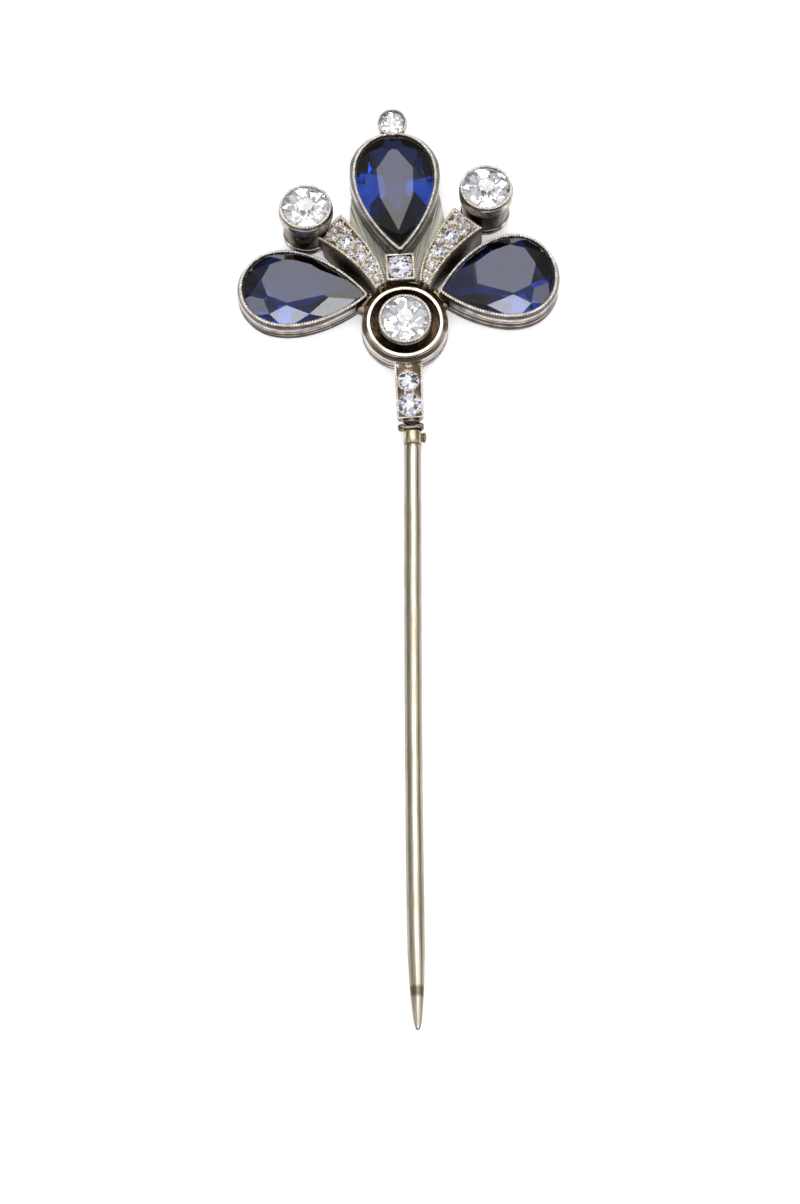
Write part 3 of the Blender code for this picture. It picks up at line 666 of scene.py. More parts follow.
def pear_setting(side):
    size = PEARS[side]
    grow, lift = (0.0, 0.0) if side == "top" else (0.09, 0.1)
    matrix, top = size["matrix"], size["top"]
    low = top - COLLET_DEPTH
    seat = top - GIRDLE_DROP - 0.17
    # Tones paint light and shade down the wall: painted shade under the milgrain and on the inner lip, a lilac
    # painted reflection on the flare, a dark painted line and bright painted highlights near the foot, painted shade
    # underneath.
    collet = pear_hoop(size, (
        (-0.135, top - 0.4, BROWN), (-0.13, top - 0.12, BROWN), (-0.12, top - 0.07, BROWN), (-0.1, top - 0.06, BROWN),
        (-0.03, top - 0.06, BROWN), (0.0, top - 0.13, DARK), (0.03, top - 0.15, DARK), (0.12, top - 0.3, BROWN),
        (0.2, top - 0.45, BROWN), (0.27, top - 0.6, BROWN), (0.32, top - 0.7, LILAC), (FLARE, top - 0.88, LILAC),
        (FLARE - 0.01, low + 0.27, DULL), (FLARE - 0.04, low + 0.21, DARK), (FLARE - 0.01, low + 0.15, BRIGHT),
        (FLARE, low + 0.06, BRIGHT),
        (FLARE - 0.12, low, DARK), (-0.6, low, DARK), (-0.5, seat - 0.3, DULL), (-0.135, seat, DULL),
    ), grow, lift, 0.03)
    collet.piece(f"{side}_pear_setting", PLATINUM, "platinum", [f"{side}_pear_collet"], matrix, 50, 0.012)
    split = low - 0.04 - (low - size["base"] - 0.04) * 0.52
    # Each rail is toned dark at top and bottom as painted shade, with a painted highlight band whose tone is the last
    # entry of its tier.
    tiers = (("gallery", low - 0.04, split, LILAC), ("base", split - 0.04, size["base"], MID))
    for tier, high, deep, bright in tiers:
        step = 0.22 * (high - deep)
        rail = pear_hoop(size, (
            (0.05, high, DARK), (FLARE - 0.14, high - step * 0.8, BROWN), (FLARE - 0.06, (high + deep) / 2, BROWN),
            (FLARE - 0.05, deep + step * 1.2, bright), (FLARE - 0.07, deep + step * 0.5, DULL),
            (FLARE - 0.16, deep, DARK), (-0.42, deep, DARK), (-0.42, high, DARK),
        ), 0.0, 0.0, 0.02)
        rail.piece(f"{side}_pear_{tier}", PLATINUM, "platinum", [f"{side}_pear_{tier}_rail"], matrix, 50, 0.01)
    grains = Build()
    milgrain(grains, pear_rows(size, ((-0.085, top - 0.02, BRIGHT),), grow, lift)[0])
    grains.piece(f"{side}_pear_milgrain", GRAIN, "platinum", (), matrix, 60)
    up = matrix.to_3x3().inverted() @ Vector((0, lift, 0))
    stone = pear_cut(size, grow, side)
    at = matrix @ Matrix.Translation((up.x, up.y, top - 0.15))
    set_stone(f"{side}_sapphire_cut", stone, at, 1.0, SAPPHIRE, "sapphire", [f"{side}_sapphire"])


# ---- round settings


def center_setting():
    top, low = RING_HIGH.z, RING_LOW.z
    matrix = HEAD
    # Tones paint light and shade: a bright painted highlight along the top, dark painted lines and lilac painted
    # reflections down the outer wall, painted shade inside and at the foot.
    ring = hoop(circle(0.0), (
        (2.58, low, DARK), (2.58, top - 0.6, BROWN), (2.58, top - 0.13, DULL), (2.66, top - 0.01, CREAM),
        (2.8, top, BRIGHT), (2.91, top - 0.01, CREAM), (2.985, top - 0.1, CREAM), (3.0, top - 0.17, DULL),
        (3.03, top - 0.19, DARK), (3.08, top - 0.26, MID), (3.24, top - 0.44, CREAM), (3.3, top - 0.54, BRIGHT),
        (3.31, top - 0.66, LILAC), (3.29, top - 0.72, DARK), (3.31, top - 0.8, MID), (3.31, top - 1.1, LILAC),
        (3.31, low + 0.26, DULL), (3.28, low + 0.17, DARK), (3.3, low + 0.08, MID), (3.23, low, DARK),
    ), 0.03)
    ring.piece("polished_ring", POLISHED, "platinum", ["center_ring"], matrix, 50, 0.008)
    tier_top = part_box("ring_gallery")[1].z / MM
    tier = hoop(circle(0.0), (
        # Painted shade: the lower tier is toned dark, lighter only on its outer bulge.
        (3.06, tier_top, DARK), (3.06, 0.5, DARK), (3.27, 0.42, MID), (3.31, 0.25, DULL), (3.21, 0.0, DARK),
        (2.58, 0.0, DARK), (2.58, tier_top, DARK),
    ))
    tier.piece("ring_tier", PLATINUM, "platinum", ["ring_gallery"], matrix, 50, 0.01)
    seat, radius = stone_frame("center_diamond")
    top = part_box("center_collet")[1].z / MM
    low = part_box("center_collet")[0].z / MM
    # Tones paint light and shade: painted highlights on the outer band and inside the seat, painted shade on the
    # lower wall and foot.
    collet = hoop(circle(0.0), (
        (1.81, top - 0.2, MID), (1.83, top - 0.08, MID), (1.86, top - 0.06, DULL), (1.95, top - 0.07, DULL),
        (1.97, top - 0.14, DARK), (2.0, top - 0.16, DULL), (2.08, top - 0.36, BRIGHT), (2.09, top - 0.5, MID),
        (2.06, top - 0.58, DULL), (2.04, low + 0.3, BROWN), (1.93, low, DARK), (1.5, low, DARK),
        (1.48, top - 0.75, BRIGHT), (1.81, top - 0.43, BRIGHT),
    ), 0.025)
    collet.piece("centre_setting", PLATINUM, "platinum", ["center_collet"], matrix, 50, 0.012)
    grains = Build()
    milgrain(grains, [Vector((x, y, top)) for x, y in circle(1.9)(0.0)])
    grains.piece("centre_milgrain", GRAIN, "platinum", (), matrix, 60)
    raised = seat @ Matrix.Translation((0, 0, CENTRE_STONE_LIFT))
    set_stone("centre_diamond_cut", OLD_CUT, raised, radius, DIAMOND, "diamond", ["center_diamond"])


def round_setting(side):
    seat, radius = stone_frame(f"{side}_diamond")
    matrix = seat @ Matrix.Translation((0, 0, 0.46 - 0.03 - 0.04 * radius))
    # Tones paint light and shade: painted highlights on the upper band and inside the seat, an umber painted dark
    # reflection down the tube, painted shade at the foot.
    collet = hoop(circle(0.0), (
        (1.83, -0.2, MID), (1.83, -0.08, MID), (1.85, -0.06, DULL), (1.94, -0.07, DULL), (1.96, -0.15, DARK),
        (1.99, -0.17, BROWN), (2.06, -0.4, CREAM), (2.08, -0.6, BRIGHT), (2.08, -0.8, MID), (2.05, -1.05, DULL),
        (2.06, -1.1, BRIGHT), (2.02, -1.2, MID), (1.92, -1.24, DARK), (1.9, -1.4, BROWN), (1.86, -2.2, UMBER),
        (1.79, -3.24, UMBER), (1.76, -3.3, DARK), (1.46, -3.3, DARK), (1.5, -0.76, BRIGHT), (1.83, -0.46, BRIGHT),
    ), 0.03)
    collet.piece(f"{side}_round_setting", PLATINUM, "platinum", [f"{side}_round_collet"], matrix, 50, 0.018)
    # Tones paint a bright painted highlight on the foot's bulge and painted shade below and inside.
    base = hoop(circle(0.0), (
        (1.74, -3.34, DARK), (1.86, -3.44, BRIGHT), (1.91, -3.6, CREAM), (1.9, -3.84, MID), (1.8, -4.08, DARK),
        (1.48, -4.14, DARK), (1.42, -4.53, BROWN), (1.1, -4.54, DARK), (1.14, -3.34, DARK),
    ), 0.03)
    base.piece(f"{side}_round_foot", PLATINUM, "platinum", [f"{side}_collet_base"], matrix, 50, 0.015)
    grains = Build()
    milgrain(grains, [Vector((x, y, 0.0)) for x, y in circle(1.895)(0.0)], worn=0.25)
    grains.piece(f"{side}_round_milgrain", GRAIN, "platinum", (), matrix, 60)
    raised = seat @ Matrix.Translation((0, 0, ROUND_STONE_LIFT))
    set_stone(f"{side}_diamond_cut", OLD_CUT, raised, radius * ROUND_STONE_SCALE, DIAMOND, "diamond",
              [f"{side}_diamond"])


def crown_setting():
    low, high = (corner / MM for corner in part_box("crown_collet"))
    middle = (low + high) / 2
    matrix = Matrix.Translation((middle.x, middle.y, 0))
    top, foot = high.z, low.z
    # Tones paint light and shade: painted highlights on the band and inside the seat, painted shade at the foot.
    collet = hoop(circle(0.0, 96), (
        (0.97, top - 0.16, MID), (0.98, top - 0.06, MID), (1.0, top - 0.06, MID), (1.1, top - 0.07, MID),
        (1.12, top - 0.12, DULL), (1.13, top - 0.14, CREAM), (1.17, top - 0.3, BRIGHT), (1.15, top - 0.6, MID),
        (1.05, foot + 0.34, DULL), (0.77, foot, DARK), (0.4, foot, DARK), (0.64, top - 0.64, BRIGHT),
        (0.97, top - 0.34, BRIGHT),
    ), 0.025)
    collet.piece("crown_setting", PLATINUM, "platinum", ["crown_collet"], matrix, 50, 0.012)
    grains = Build()
    milgrain(grains, [Vector((x, y, top)) for x, y in circle(1.05, 96)(0.0)], 0.1, 0.19)
    grains.piece("crown_milgrain", GRAIN, "platinum", (), matrix, 60)
    seat, radius = stone_frame("crown_diamond")
    set_stone("crown_diamond_cut", OLD_CUT, seat, radius, DIAMOND, "diamond", ["crown_diamond"])


# ---- pave arms


def bezier(controls, t):
    a, b, c, d = (Vector(p) for p in controls)
    s = 1 - t
    return a * s**3 + b * (3 * s * s * t) + c * (3 * s * t * t) + d * t**3


def arm_height(p):
    return ARM_NEAR + ARM_SLOPE * (math.hypot(p.x, p.y) - RING_WALL)


def arm_spot(mirror, t, share):
    """A point of the arm in the head's plane: t runs outwards, share from the inner edge to the outer."""
    p = bezier(ARM_INNER, t).lerp(bezier(ARM_OUTER, t), share)
    return Vector((mirror * p.x, p.y))


def arm(side, mirror):
    seat, radius = stone_frame(f"{side}_diamond")
    cup = HEAD.inverted() @ seat
    origin, axis = cup.to_translation(), (cup.to_3x3() @ Vector((0, 0, 1))).normalized()

    def inside(p, margin=0.0):
        gap = p - origin
        return (gap - axis * gap.dot(axis)).length < ARM_CUP + margin

    stations = 44
    # Tones across the arm paint light and shade: painted highlights on the rims, painted shade in the sunk field,
    # darker painted shade down the outer wall to the foot.
    section = (
        (0.0, 0.0, BROWN), (0.0, 0.5, BROWN), (0.0, 0.93, DULL), (0.005, 0.985, CREAM), (0.02, 1.0, BRIGHT),
        (0.085, 1.0, CREAM), (0.1, -1.0, DARK), (0.3, -1.0, FIELD), (0.5, -1.0, FIELD), (0.7, -1.0, FIELD),
        (0.9, -1.0, DARK), (0.915, 1.0, CREAM), (0.98, 1.0, BRIGHT), (0.995, 0.985, CREAM), (1.0, 0.93, DULL),
        (1.0, 0.7, UMBER), (1.1, 0.4, UMBER), (1.3, 0.12, BROWN), (1.3, 0.0, DARK), (0.5, 0.0, DARK),
    )

    def spot(t, share, level):
        if share > 1:
            share = 1 + (share - 1) * max(0.0, min(1.0, (0.9 - t) / 0.35))
        flat = arm_spot(mirror, t, share)
        top = arm_height(flat)
        z = top - ARM_SINK if level < 0 else ARM_LOW + (top - ARM_LOW) * level
        return Vector((flat.x, flat.y, z))

    ends = []
    for share, level, _ in section:
        far = 1.0
        if inside(spot(1.0, share, level)):
            near = 0.4
            for _ in range(20):
                half = (near + far) / 2
                near, far = (near, half) if inside(spot(half, share, level)) else (half, far)
        ends.append(far)
    rows = []
    for j in range(stations + 1):
        rows.append([spot(end * j / stations, share, level) for (share, level, _), end in zip(section, ends)])
    build = Build()
    build.loft(rows, [[tone for _, _, tone in section]] * len(rows), capped=True)
    build.piece(f"{side}_pave_arm", PLATINUM, "platinum", [f"{side}_arm"], HEAD, 40, 0.008)

    grains = Build()
    for share in (0.045, 0.955):
        path = [spot(ends[6] * t / 60, share, 1.0) for t in range(61)]
        milgrain(grains, path, closed=False, tone=CREAM)
    across = [spot(0.985, share / 12, 1.0) for share in range(1, 12)]
    across = [p for p in across if not inside(p)]
    if len(across) > 2:
        milgrain(grains, across, closed=False)
    small = Build()
    taken = []
    for index in (1, 2, 3):
        at, r = stone_frame(f"{side}_arm_diamond_{index}")
        p = (HEAD.inverted() @ at).to_translation()
        taken.append((p.x, p.y, r))
        set_stone(f"{side}_arm_stone_{index}", OLD_CUT, at, r * ARM_STONE_SCALE, SPARKLE, "diamond",
                  [f"{side}_arm_diamond_{index}"])
        for k in range(6):
            a = math.tau * (k + random.uniform(-0.15, 0.15)) / 6
            q = Vector((p.x + (r + 0.05) * math.cos(a), p.y + (r + 0.05) * math.sin(a)))
            z = arm_height(q) - ARM_SINK + 0.03
            bead(grains, Vector((q.x, q.y, z)), Vector((1, 0, 0)), Vector((0, 0, 1)), (0.1, 0.1, 0.12), BRIGHT)
    for biggest, tries in ((0.27, 260), (0.19, 500), (0.13, 900)):
        for _ in range(tries):
            t, share = random.uniform(0.04, 0.97), random.uniform(0.14, 0.86)
            p = spot(t, share, -1.0)
            wide = (arm_spot(mirror, t, 0) - arm_spot(mirror, t, 1)).length
            room = min(share - 0.1, 0.9 - share) * wide
            r = biggest * random.uniform(0.85, 1.1)
            if room < r * 0.8 or any(
                math.hypot(p.x - x, p.y - y) < r + other + 0.04 for x, y, other in taken
            ):
                continue
            if inside(p, r):
                continue
            taken.append((p.x, p.y, r))
            turn = Matrix.Translation(p + Vector((0, 0, 0.02))) @ Matrix.Rotation(random.uniform(0, 6), 4, "Z")
            add_sparks(small, OLD_CUT, turn, r)
            for _ in range(4):
                a = random.uniform(0, math.tau)
                q = p + Vector((math.cos(a), math.sin(a), 0)) * (r + 0.03)
                wide = random.uniform(0.07, 0.11)
                bead(grains, q + Vector((0, 0, 0.03)), Vector((1, 0, 0)), Vector((0, 0, 1)),
                     (wide, wide, 0.11), BRIGHT)
    for _ in range(1400):
        t, share = random.uniform(0.01, 0.985), random.uniform(0.11, 0.89)
        p = spot(t, share, -1.0)
        r = random.uniform(0.05, 0.1)
        if inside(p, r) or any(
            math.hypot(p.x - x, p.y - y) < r + other - 0.03 for x, y, other in taken
        ):
            continue
        taken.append((p.x, p.y, r))
        bead(grains, p + Vector((0, 0, 0.02)), Vector((1, 0, 0)), Vector((0, 0, 1)), (r, r, r * 1.3),
             random.choice((CREAM, GILT, GILT)))
    small.piece(f"{side}_pave_stones", SPARKLE, "diamond", (), HEAD, loose=True)
    grains.piece(f"{side}_arm_grains", GRAIN, "platinum", (), HEAD, 60)


# ---- box and bar


def rimmed_block(corners, low, top, edge, sink, foot=0.0):
    """A block on four corners whose top is a sunk field inside a raised edge."""
    build = Build()
    middle = sum((Vector(c) for c in corners), Vector((0, 0))) / 4

    def row(inset, z, per_side=14):
        ring = []
        pts = []
        for c in corners:
            way = Vector(c) - middle
            pts.append(Vector((c[0] - math.copysign(inset, way.x), c[1] - math.copysign(inset, way.y))))
        for i in range(4):
            a, b = pts[i], pts[(i + 1) % 4]
            for k in range(per_side):
                p = a.lerp(b, k / per_side)
                ring.append(Vector((p.x, p.y, z)))
        return ring

    # Tones paint light and shade: painted shade down the sides to the foot, painted highlights on the raised edge, a
    # dark painted line and painted shade in the sunk field.
    levels = (
        (-foot, low, BROWN), (-foot * 0.6, low + (top - low) * 0.45, DULL), (-foot * 0.1, top - 0.12, MID),
        (0.0, top - 0.05, BRIGHT), (0.02, top - 0.012, BRIGHT), (0.05, top, BRIGHT), (edge - 0.05, top, CREAM),
        (edge - 0.01, top - 0.03, DULL), (edge, top - sink, DARK), (edge + 0.16, top - sink, BROWN),
        (edge + 0.45, top - sink + 0.02, UMBER),
    )
    build.loft([row(inset, z) for inset, z, _ in levels], [tone for _, _, tone in levels], capped=True)
    return build


def bite(obj, middle, radius, top):
    """Takes the ring's round shape out of a block that leans against it."""
    tool = Build()
    rows = [[middle + Vector((x, y, z)) for x, y in circle(radius, 96)(0.0)] for z in (-1.0, top)]
    tool.loft(rows, [DARK, DARK], capped=True)
    cutter = tool.piece("bite_tool", PLATINUM, "platinum")
    modifier = obj.modifiers.new("bite", "BOOLEAN")
    modifier.object = cutter
    modifier.operation = "DIFFERENCE"
    modifier.solver = "EXACT"
    done = bpy.data.meshes.new_from_object(obj.evaluated_get(bpy.context.evaluated_depsgraph_get()))
    obj.modifiers.clear()
    obj.data = done
    bpy.data.objects.remove(cutter)


def prongs(build, spots, z, size, tone=BRIGHT):
    for x, y in spots:
        bead(build, Vector((x, y, z)), Vector((1, 0.2, 0)), Vector((0, 0, 1)), size, tone)


def box_setting():
    seat, radius = stone_frame("box_diamond")
    middle = (HEAD.inverted() @ seat).to_translation()
    low, high = (corner.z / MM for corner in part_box("box_setting"))
    half = 1.1
    x, y = middle.x, middle.y
    corners = [(x - half, y - half), (x + half, y - half), (x + half, y + half), (x - half, y + half)]
    block = rimmed_block(corners, low, high, 0.2, 0.15)
    obj = block.piece("box_block", PLATINUM, "platinum", ["box_setting"], HEAD, 30, 0.006)
    bite(obj, Vector((RING_MIDDLE.x, RING_MIDDLE.y, 0)), RING_WALL + 0.03, RING_HIGH.z + 0.05)
    set_stone("box_diamond_cut", OLD_CUT, seat, radius * BOX_STONE_SCALE, SPARKLE, "diamond", ["box_diamond"])
    grains = Build()
    inset = half - 0.08
    for sx in (-1, 1):
        milgrain(grains, [Vector((x + sx * inset, y + inset * (2 * k / 20 - 1), high)) for k in range(21)],
                 closed=False, tone=CREAM)
    milgrain(grains, [Vector((x + inset * (2 * k / 20 - 1), y - inset, high)) for k in range(21)], closed=False)
    for sx in (-1, 1):
        for sy in (-1, 1):
            prongs(grains, [(x + sx * 0.68, y + sy * 0.68)], high - 0.12, (0.15, 0.15, 0.2))
            prongs(grains, [(x + sx * 0.83, y + sy * 0.5), (x + sx * 0.5, y + sy * 0.83)], high - 0.12,
                   (0.07, 0.07, 0.1), CREAM)
    grains.piece("box_grains", GRAIN, "platinum", (), HEAD, 60)


def stem_bar():
    low, high = (corner.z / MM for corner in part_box("stem_bar"))
    corners = [(-1.1, -7.77), (0.9, -7.77), (1.11, -3.0), (-1.03, -3.0)]
    block = rimmed_block(corners, low, high, 0.17, 0.14, 0.1)
    obj = block.piece("bar_block", PLATINUM, "platinum", ["stem_bar"], HEAD, 30, 0.008)
    bite(obj, Vector((RING_MIDDLE.x, RING_MIDDLE.y, 0)), RING_WALL + 0.03, 5.0)
    grains, gold = Build(), Build()
    sides = (((-1.02, -7.55), (-0.96, -3.4)), ((0.82, -7.55), (1.02, -3.4)))
    for a, b in sides:
        path = [Vector((*Vector(a).lerp(Vector(b), k / 30), high)) for k in range(31)]
        milgrain(grains, path, closed=False)
    for name in ("upper", "lower"):
        seat, radius = stone_frame(f"{name}_bar_diamond")
        set_stone(f"{name}_bar_stone", OLD_CUT, seat, radius * BAR_STONE_SCALE, SPARKLE, "diamond",
                  [f"{name}_bar_diamond"])
    z = high - 0.1
    prongs(grains, [(-0.36, -5.44), (0.24, -5.44), (-0.38, -5.74), (0.24, -5.74)], z + 0.05, (0.14, 0.2, 0.2))
    prongs(grains, [(-0.68, -4.2), (0.56, -4.2), (-0.72, -5.15), (0.58, -5.15)], z, (0.1, 0.1, 0.12), CREAM)
    prongs(gold, [(-0.6, -7.42), (0.42, -7.42), (-0.66, -6.05), (0.52, -6.05)], z, (0.12, 0.12, 0.15), CREAM)
    crescent = [Vector((-0.08 + 0.5 * math.cos(a), -4.6 + 0.82 * math.sin(a), z)) for a in
                [math.radians(d) for d in range(45, 136, 9)]]
    milgrain(gold, crescent, 0.1, 0.12, closed=False, sink=0.0)
    grains.piece("bar_grains", GRAIN, "platinum", (), HEAD, 60)
    gold.piece("bar_gold_grains", GOLD_GRAIN, "gold", (), HEAD, 60)


# ---- joint and stem


def refined(node, name, material, slot, levels=2, rough=0.02, tone=MID):
    """A smoothed, slightly uneven copy of a small solid."""
    mesh = NODES[node].data.copy()
    bm = bmesh.new()
    bm.from_mesh(mesh)
    bmesh.ops.remove_doubles(bm, verts=bm.verts, dist=0.00001)
    bmesh.ops.dissolve_limit(bm, angle_limit=math.radians(2), verts=bm.verts, edges=bm.edges)
    for _ in range(levels):
        bmesh.ops.subdivide_edges(bm, edges=bm.edges, cuts=1, use_grid_fill=True, smooth=0.6)
    build = Build()
    bm.verts.index_update()
    points = [v.co / MM for v in bm.verts]
    faces = [[v.index for v in f.verts] for f in bm.faces]
    places = [[(points[i].x, points[i].y) for i in face] for face in faces]
    build.add(points, [tone] * len(points), faces, places)
    bm.free()
    bpy.data.meshes.remove(mesh)
    return build.piece(name, material, slot, [node], None, 60, rough)


def stem():
    """The long plain rod, its stepped root and its tapered point."""
    pts = points_of("pin_stem")
    stations = []
    for y in sorted({round(float(v), 2) for v in pts[:, 1]}, reverse=True):
        ring = pts[np.abs(pts[:, 1] - y) < 0.012]
        middle = (ring.min(axis=0) + ring.max(axis=0)) / 2
        stations.append((y, middle[0], middle[2], (ring[:, 0].max() - ring[:, 0].min()) / 2))
    root = stations[0]
    body = [s for s in stations if s[3] > root[3] + 0.03]
    start, end = body[0][0], stations[-1][0]
    ys = [s[0] for s in stations][::-1]
    x_at = lambda y: float(np.interp(y, ys, [s[1] for s in stations][::-1]))
    z = body[0][2]
    build = Build()
    rows, tones = [], []

    def row(y, radius, tone):
        x = x_at(y)
        rows.append([Vector((x + radius * math.cos(math.tau * k / 40), y, z + radius * math.sin(math.tau * k / 40)))
                     for k in range(40)])
        # Painted highlight: a stripe of full tone along the rod's upper side stands in for the key light's
        # reflection; the rest of the rod is toned darker.
        painted_highlight_stripe = [1.0 if 7 <= k <= 10 else 0.44 for k in range(40)]
        tones.append([tuple(c * part for c in tone) for part in painted_highlight_stripe])

    full = max(s[3] for s in body)
    # The root rows are toned brown as painted shade where the rod enters the sleeve.
    row(root[0] - 0.02, root[3] * 0.9, BROWN)
    row(root[0] - 0.05, root[3], BROWN)
    row(start + 0.001, root[3], BROWN)
    row(start, full * 0.96, MID)
    row(start - 0.05, full, BRIGHT)
    steps = 90
    for k in range(1, steps):
        y = start - 0.05 - (start - end - 6.05) * k / steps
        row(y, full * (1 + 0.012 * noise.noise(Vector((0, y * 0.35, 3)))), BRIGHT)
    for k in range(30):
        away = 6.0 * (1 - k / 30) ** 1.8
        tone = (0.95, 0.93, 1.0) if away < 3 else BRIGHT
        if 2.6 < away < 3.3:
            tone = DULL
        row(end + away, full * (away / 6.0) ** 0.36, tone)
    row(end + 0.001, 0.02, MID)
    build.loft(rows, tones, capped=True)
    build.piece("long_stem", WHITE_GOLD, "white_gold", ["pin_stem"], None, 60, 0.006)


def joint():
    refined("joint_collar", "rough_collar", PLATINUM, "platinum", 2, 0.1, DULL)
    refined("joint_neck", "neck_strap", PLATINUM, "platinum", 1, 0.015, DULL)
    refined("joint_lug", "leaf_lug", PALE_GOLD, "gold", 1, 0.02, MID)
    low, high = (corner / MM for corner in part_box("stem_sleeve"))
    middle = (low + high) / 2
    r = (high.x - low.x) / 2
    # Tones paint a bright painted highlight down the sleeve, with painted shade inside it.
    profile = (
        (r * 0.86, high.y, DULL), (r, high.y - 0.14, BRIGHT), (r, low.y + 0.3, BRIGHT), (r * 0.92, low.y, MID),
        (0.61, low.y, DARK), (0.61, high.y - 0.2, DARK),
    )
    build = Build()
    profile = soften(profile, 0.05)
    rows = [[Vector((middle.x + radius * x, y, middle.z + radius * z)) for x, z in circle(1.0, 48)(0.0)]
            for radius, y, _ in profile]
    build.loft(rows, [tone for _, _, tone in profile], stacked=True)
    leaf_low, leaf_high = (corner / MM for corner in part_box("joint_lug"))
    leaf = (leaf_low + leaf_high) / 2
    web = Build()
    points, faces = template(3)
    web.add([Vector(((leaf.x + middle.x + r) / 2 - 0.02 + p.x * 0.28, leaf.y + p.y * 0.36, leaf.z + p.z * 0.24))
             for p in points], [DULL] * len(points), faces, [[(points[i].x, points[i].y) for i in f] for f in faces])
    web.piece("lug_web", PALE_GOLD, "gold", (), None, 60, 0.02)
    build.piece("gold_sleeve", PALE_GOLD, "gold", ["stem_sleeve"], None, 50, 0.012)


def fillet():
    """Gold-coloured solder that fills the corner between the ring, the box and the arms."""
    build = Build()
    rows = []
    top = RING_HIGH.z - 0.14
    for step in range(57):
        a = math.radians(24 + 132 * step / 56)
        wave = noise.noise(Vector((a * 6, 1.7, 0)))
        row = []
        for r, z in ((3.3, top), (3.4, top + 0.02), (3.56, top - 0.2), (3.72, top - 0.55), (3.82, 0.5), (3.3, 0.5)):
            swell = wave * 0.16 if r > 3.3 else 0.0
            row.append(Vector(((r + swell) * math.cos(a), (r + swell) * math.sin(a), z + swell if z > 0.6 else z)))
        rows.append(row)
    # Tones run from a cream painted highlight on the top edge to painted shade at the foot.
    build.loft(rows, [[MID, CREAM, MID, DULL, BROWN, BROWN]] * len(rows), capped=True)
    build.piece("ring_fillet", PALE_GOLD, "gold", (), HEAD, 60, 0.03)


def lumps(name, spots, material, slot):
    """Solder that has run into a joint: (x, y, z) and the half-widths of each lump, in the head's frame."""
    build = Build()
    points, faces = template(3)
    for x, y, z, wide, long, high, tone in spots:
        made = []
        for p in points:
            swell = 1 + 0.28 * noise.noise(p * 1.3 + Vector((x, y, z)))
            made.append(Vector((x + p.x * wide * swell, y + p.y * long * swell, z + p.z * high * swell)))
        build.add(made, [tone] * len(made), faces, [[(points[i].x, points[i].y) for i in f] for f in faces])
    build.piece(name, material, slot, (), HEAD, 70)


def solder():
    dark, warm = [], []
    for side in (-1, 1):
        # The platinum lumps where the ring meets the side settings are toned dull as painted shade in those joints;
        # the gold lumps keep a cream tone.
        dark += [(side * 2.98, 1.7, 0.62, 0.42, 0.5, 0.55, DULL), (side * 2.62, 2.3, 0.8, 0.36, 0.42, 0.7, DULL)]
        warm += [(side * 1.78, 2.98, 1.75, 0.3, 0.22, 0.42, CREAM), (side * 1.3, 3.2, 1.8, 0.2, 0.2, 0.4, CREAM),
                 (side * 2.45, 2.62, 1.35, 0.28, 0.22, 0.3, CREAM)]
    warm += [(-5.72, 6.82, 2.45, 0.28, 0.22, 0.34, CREAM), (5.55, 7.4, 2.5, 0.2, 0.2, 0.3, MID)]
    lumps("shade_toned_solder", dark, PLATINUM, "platinum")
    lumps("gold_solder", warm, PALE_GOLD, "gold")


# ---- carried-over solids


def fan_material():
    """The plate under the top pear, scraped in lines that run towards the ring."""
    material, tree, shader = shader_nodes("scraped_plate")
    nodes = tree.nodes
    coords = nodes.new("ShaderNodeTexCoord")
    shift = nodes.new("ShaderNodeMapping")
    shift.inputs["Location"].default_value = (-RING_MIDDLE.x * MM, -RING_MIDDLE.y * MM, 0)
    link(tree, coords.outputs["Object"], shift.inputs["Vector"])
    split = nodes.new("ShaderNodeSeparateXYZ")
    link(tree, shift.outputs["Vector"], split.inputs["Vector"])
    angle = nodes.new("ShaderNodeMath")
    angle.operation = "ARCTAN2"
    link(tree, split.outputs["X"], angle.inputs[0])
    link(tree, split.outputs["Y"], angle.inputs[1])
    turned = nodes.new("ShaderNodeCombineXYZ")
    link(tree, angle.outputs[0], turned.inputs["X"])
    away = nodes.new("ShaderNodeVectorMath")
    away.operation = "LENGTH"
    link(tree, shift.outputs["Vector"], away.inputs[0])
    link(tree, away.outputs["Value"], turned.inputs["Y"])
    lines = noise_node(tree, turned.outputs["Vector"], 1.0, 4.0, 0.65, (90.0, 120.0, 1.0))
    color = ramp(tree, lines, ((0.3, (0.1, 0.09, 0.07)), (0.5, (0.36, 0.36, 0.31)), (0.68, (0.6, 0.6, 0.54))))
    link(tree, color, shader.inputs["Base Color"])
    shader.inputs["Metallic"].default_value = 1.0
    shader.inputs["Roughness"].default_value = 0.34
    bump = nodes.new("ShaderNodeBump")
    bump.inputs["Strength"].default_value = 0.4
    bump.inputs["Distance"].default_value = 0.0001
    link(tree, lines, bump.inputs["Height"])
    link(tree, bump.outputs["Normal"], shader.inputs["Normal"])
    return material


def dress(node, material):
    mesh = NODES[node].data
    mesh.materials.clear()
    mesh.materials.append(material)


# ---- studio


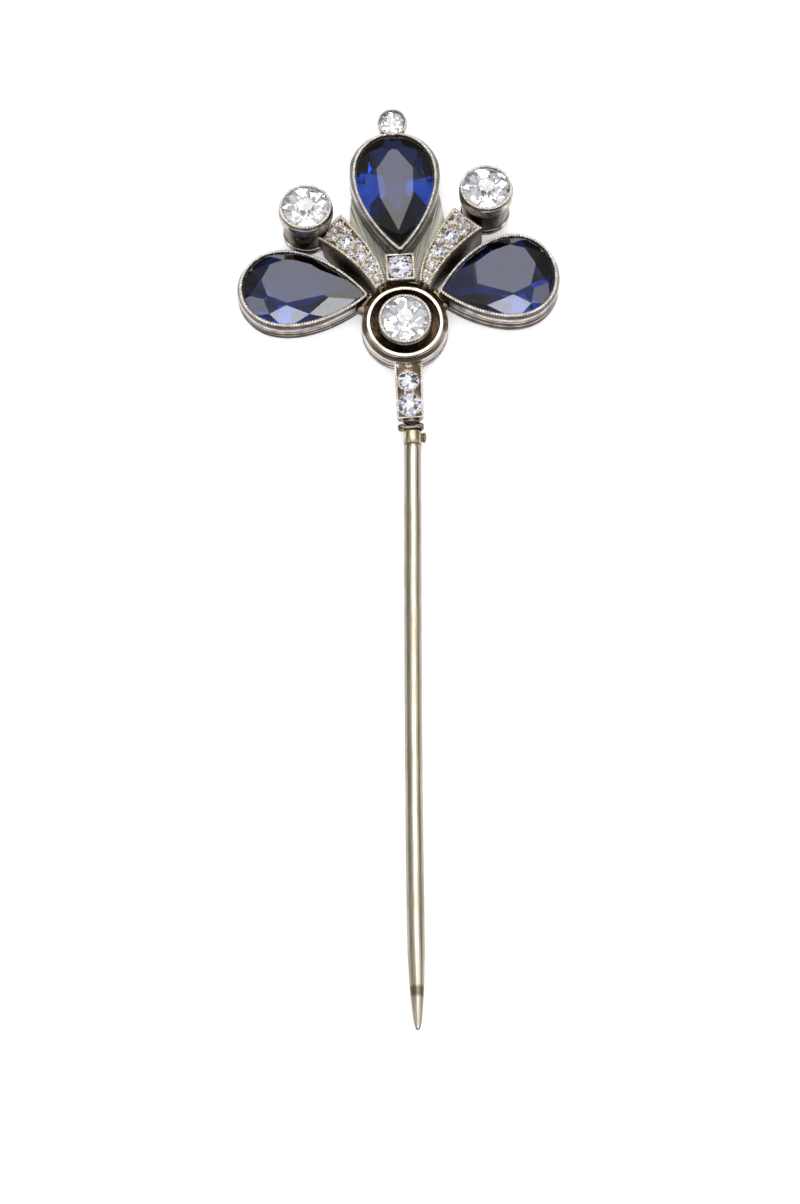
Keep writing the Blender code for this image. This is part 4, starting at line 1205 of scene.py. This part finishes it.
def studio():
    scene = bpy.context.scene
    scene.view_settings.view_transform = "Standard"
    scene.view_settings.look = "None"
    bm = bmesh.new()
    bmesh.ops.create_grid(bm, x_segments=4, y_segments=4, size=2.0)
    mesh = bpy.data.meshes.new("table_top")
    bm.to_mesh(mesh)
    bm.free()
    table = bpy.data.objects.new("table_top", mesh)
    table.location = (0, 0, -0.00004)
    scene.collection.objects.link(table)
    material, tree, shader = shader_nodes("white_table")
    coords = tree.nodes.new("ShaderNodeTexCoord")
    grain = noise_node(tree, coords.outputs["Object"], 60.0, 2.0)
    link(tree, ramp(tree, grain, ((0.3, (0.93, 0.93, 0.93)), (0.7, (0.96, 0.96, 0.96)))), shader.inputs["Base Color"])
    shader.inputs["Roughness"].default_value = 0.7
    shader.inputs["Emission Color"].default_value = (1, 1, 1, 1)
    shader.inputs["Emission Strength"].default_value = 0.45
    mesh.materials.append(material)

    world = bpy.data.worlds.new("studio")
    world.use_nodes = True
    tree = world.node_tree
    coords = tree.nodes.new("ShaderNodeTexCoord")
    split = tree.nodes.new("ShaderNodeSeparateXYZ")
    link(tree, coords.outputs["Generated"], split.inputs["Vector"])
    sky = ramp(tree, split.outputs["Z"], (
        (0.0, (0.07, 0.058, 0.05)), (0.3, (0.14, 0.125, 0.115)), (0.58, (0.34, 0.33, 0.34)), (0.8, (0.5, 0.5, 0.52)),
        (1.0, (0.62, 0.62, 0.62)),
    ))
    link(tree, sky, tree.nodes["Background"].inputs["Color"])
    scene.world = world

    def softbox(name, place, target, size, radiance, color=(1, 1, 1)):
        light = bpy.data.lights.new(name, "AREA")
        light.shape = "RECTANGLE"
        light.size, light.size_y = size[0] * MM, size[1] * MM
        light.energy = 4 * radiance * light.size * light.size_y
        light.color = color
        obj = bpy.data.objects.new(name, light)
        obj.location = Vector(place) * MM
        aim = Vector(target) - Vector(place)
        obj.rotation_euler = aim.to_track_quat("-Z", "Y").to_euler()
        scene.collection.objects.link(obj)

    softbox("key", (0, 170, 400), (0, 0, 0), (420, 300), 1.65, (1.0, 0.99, 0.97))
    softbox("front", (0, -215, 400), (0, 0, 0), (500, 56), 5.2, (0.92, 0.92, 1.0))
    softbox("left_fill", (-420, -60, 260), (0, 0, 0), (120, 320), 1.6, (0.96, 0.96, 1.0))
    softbox("right_fill", (420, -60, 260), (0, 0, 0), (120, 320), 1.3, (1.0, 0.98, 0.95))

    camera = bpy.data.cameras.new("camera")
    camera.lens = 167.5
    camera.sensor_width = 36
    camera.clip_start, camera.clip_end = 0.01, 10.0
    eye = bpy.data.objects.new("camera", camera)
    eye.location = Vector((-0.095, -176.859, 392.104)) * MM
    look = Vector((-0.095, -26.344, 0.0)) * MM - eye.location
    eye.rotation_euler = look.to_track_quat("-Z", "Y").to_euler()
    scene.collection.objects.link(eye)
    scene.camera = eye


for side in PEARS:
    pear_setting(side)
center_setting()
round_setting("left")
round_setting("right")
crown_setting()
arm("left", -1)
arm("right", 1)
box_setting()
stem_bar()
joint()
fillet()
solder()
stem()
dress("back_plate", fan_material())
# The bridge is coloured very dark: dark oxidised gold, and painted shade for the gap under the centre collet.
dress("center_bridge", metal("bridge_gold", (0.13, 0.09, 0.045), (0.02, 0.015, 0.01), 0.35, marks="object",
                             mark_scale=(1500.0, 1500.0), has_tone=False))
studio()
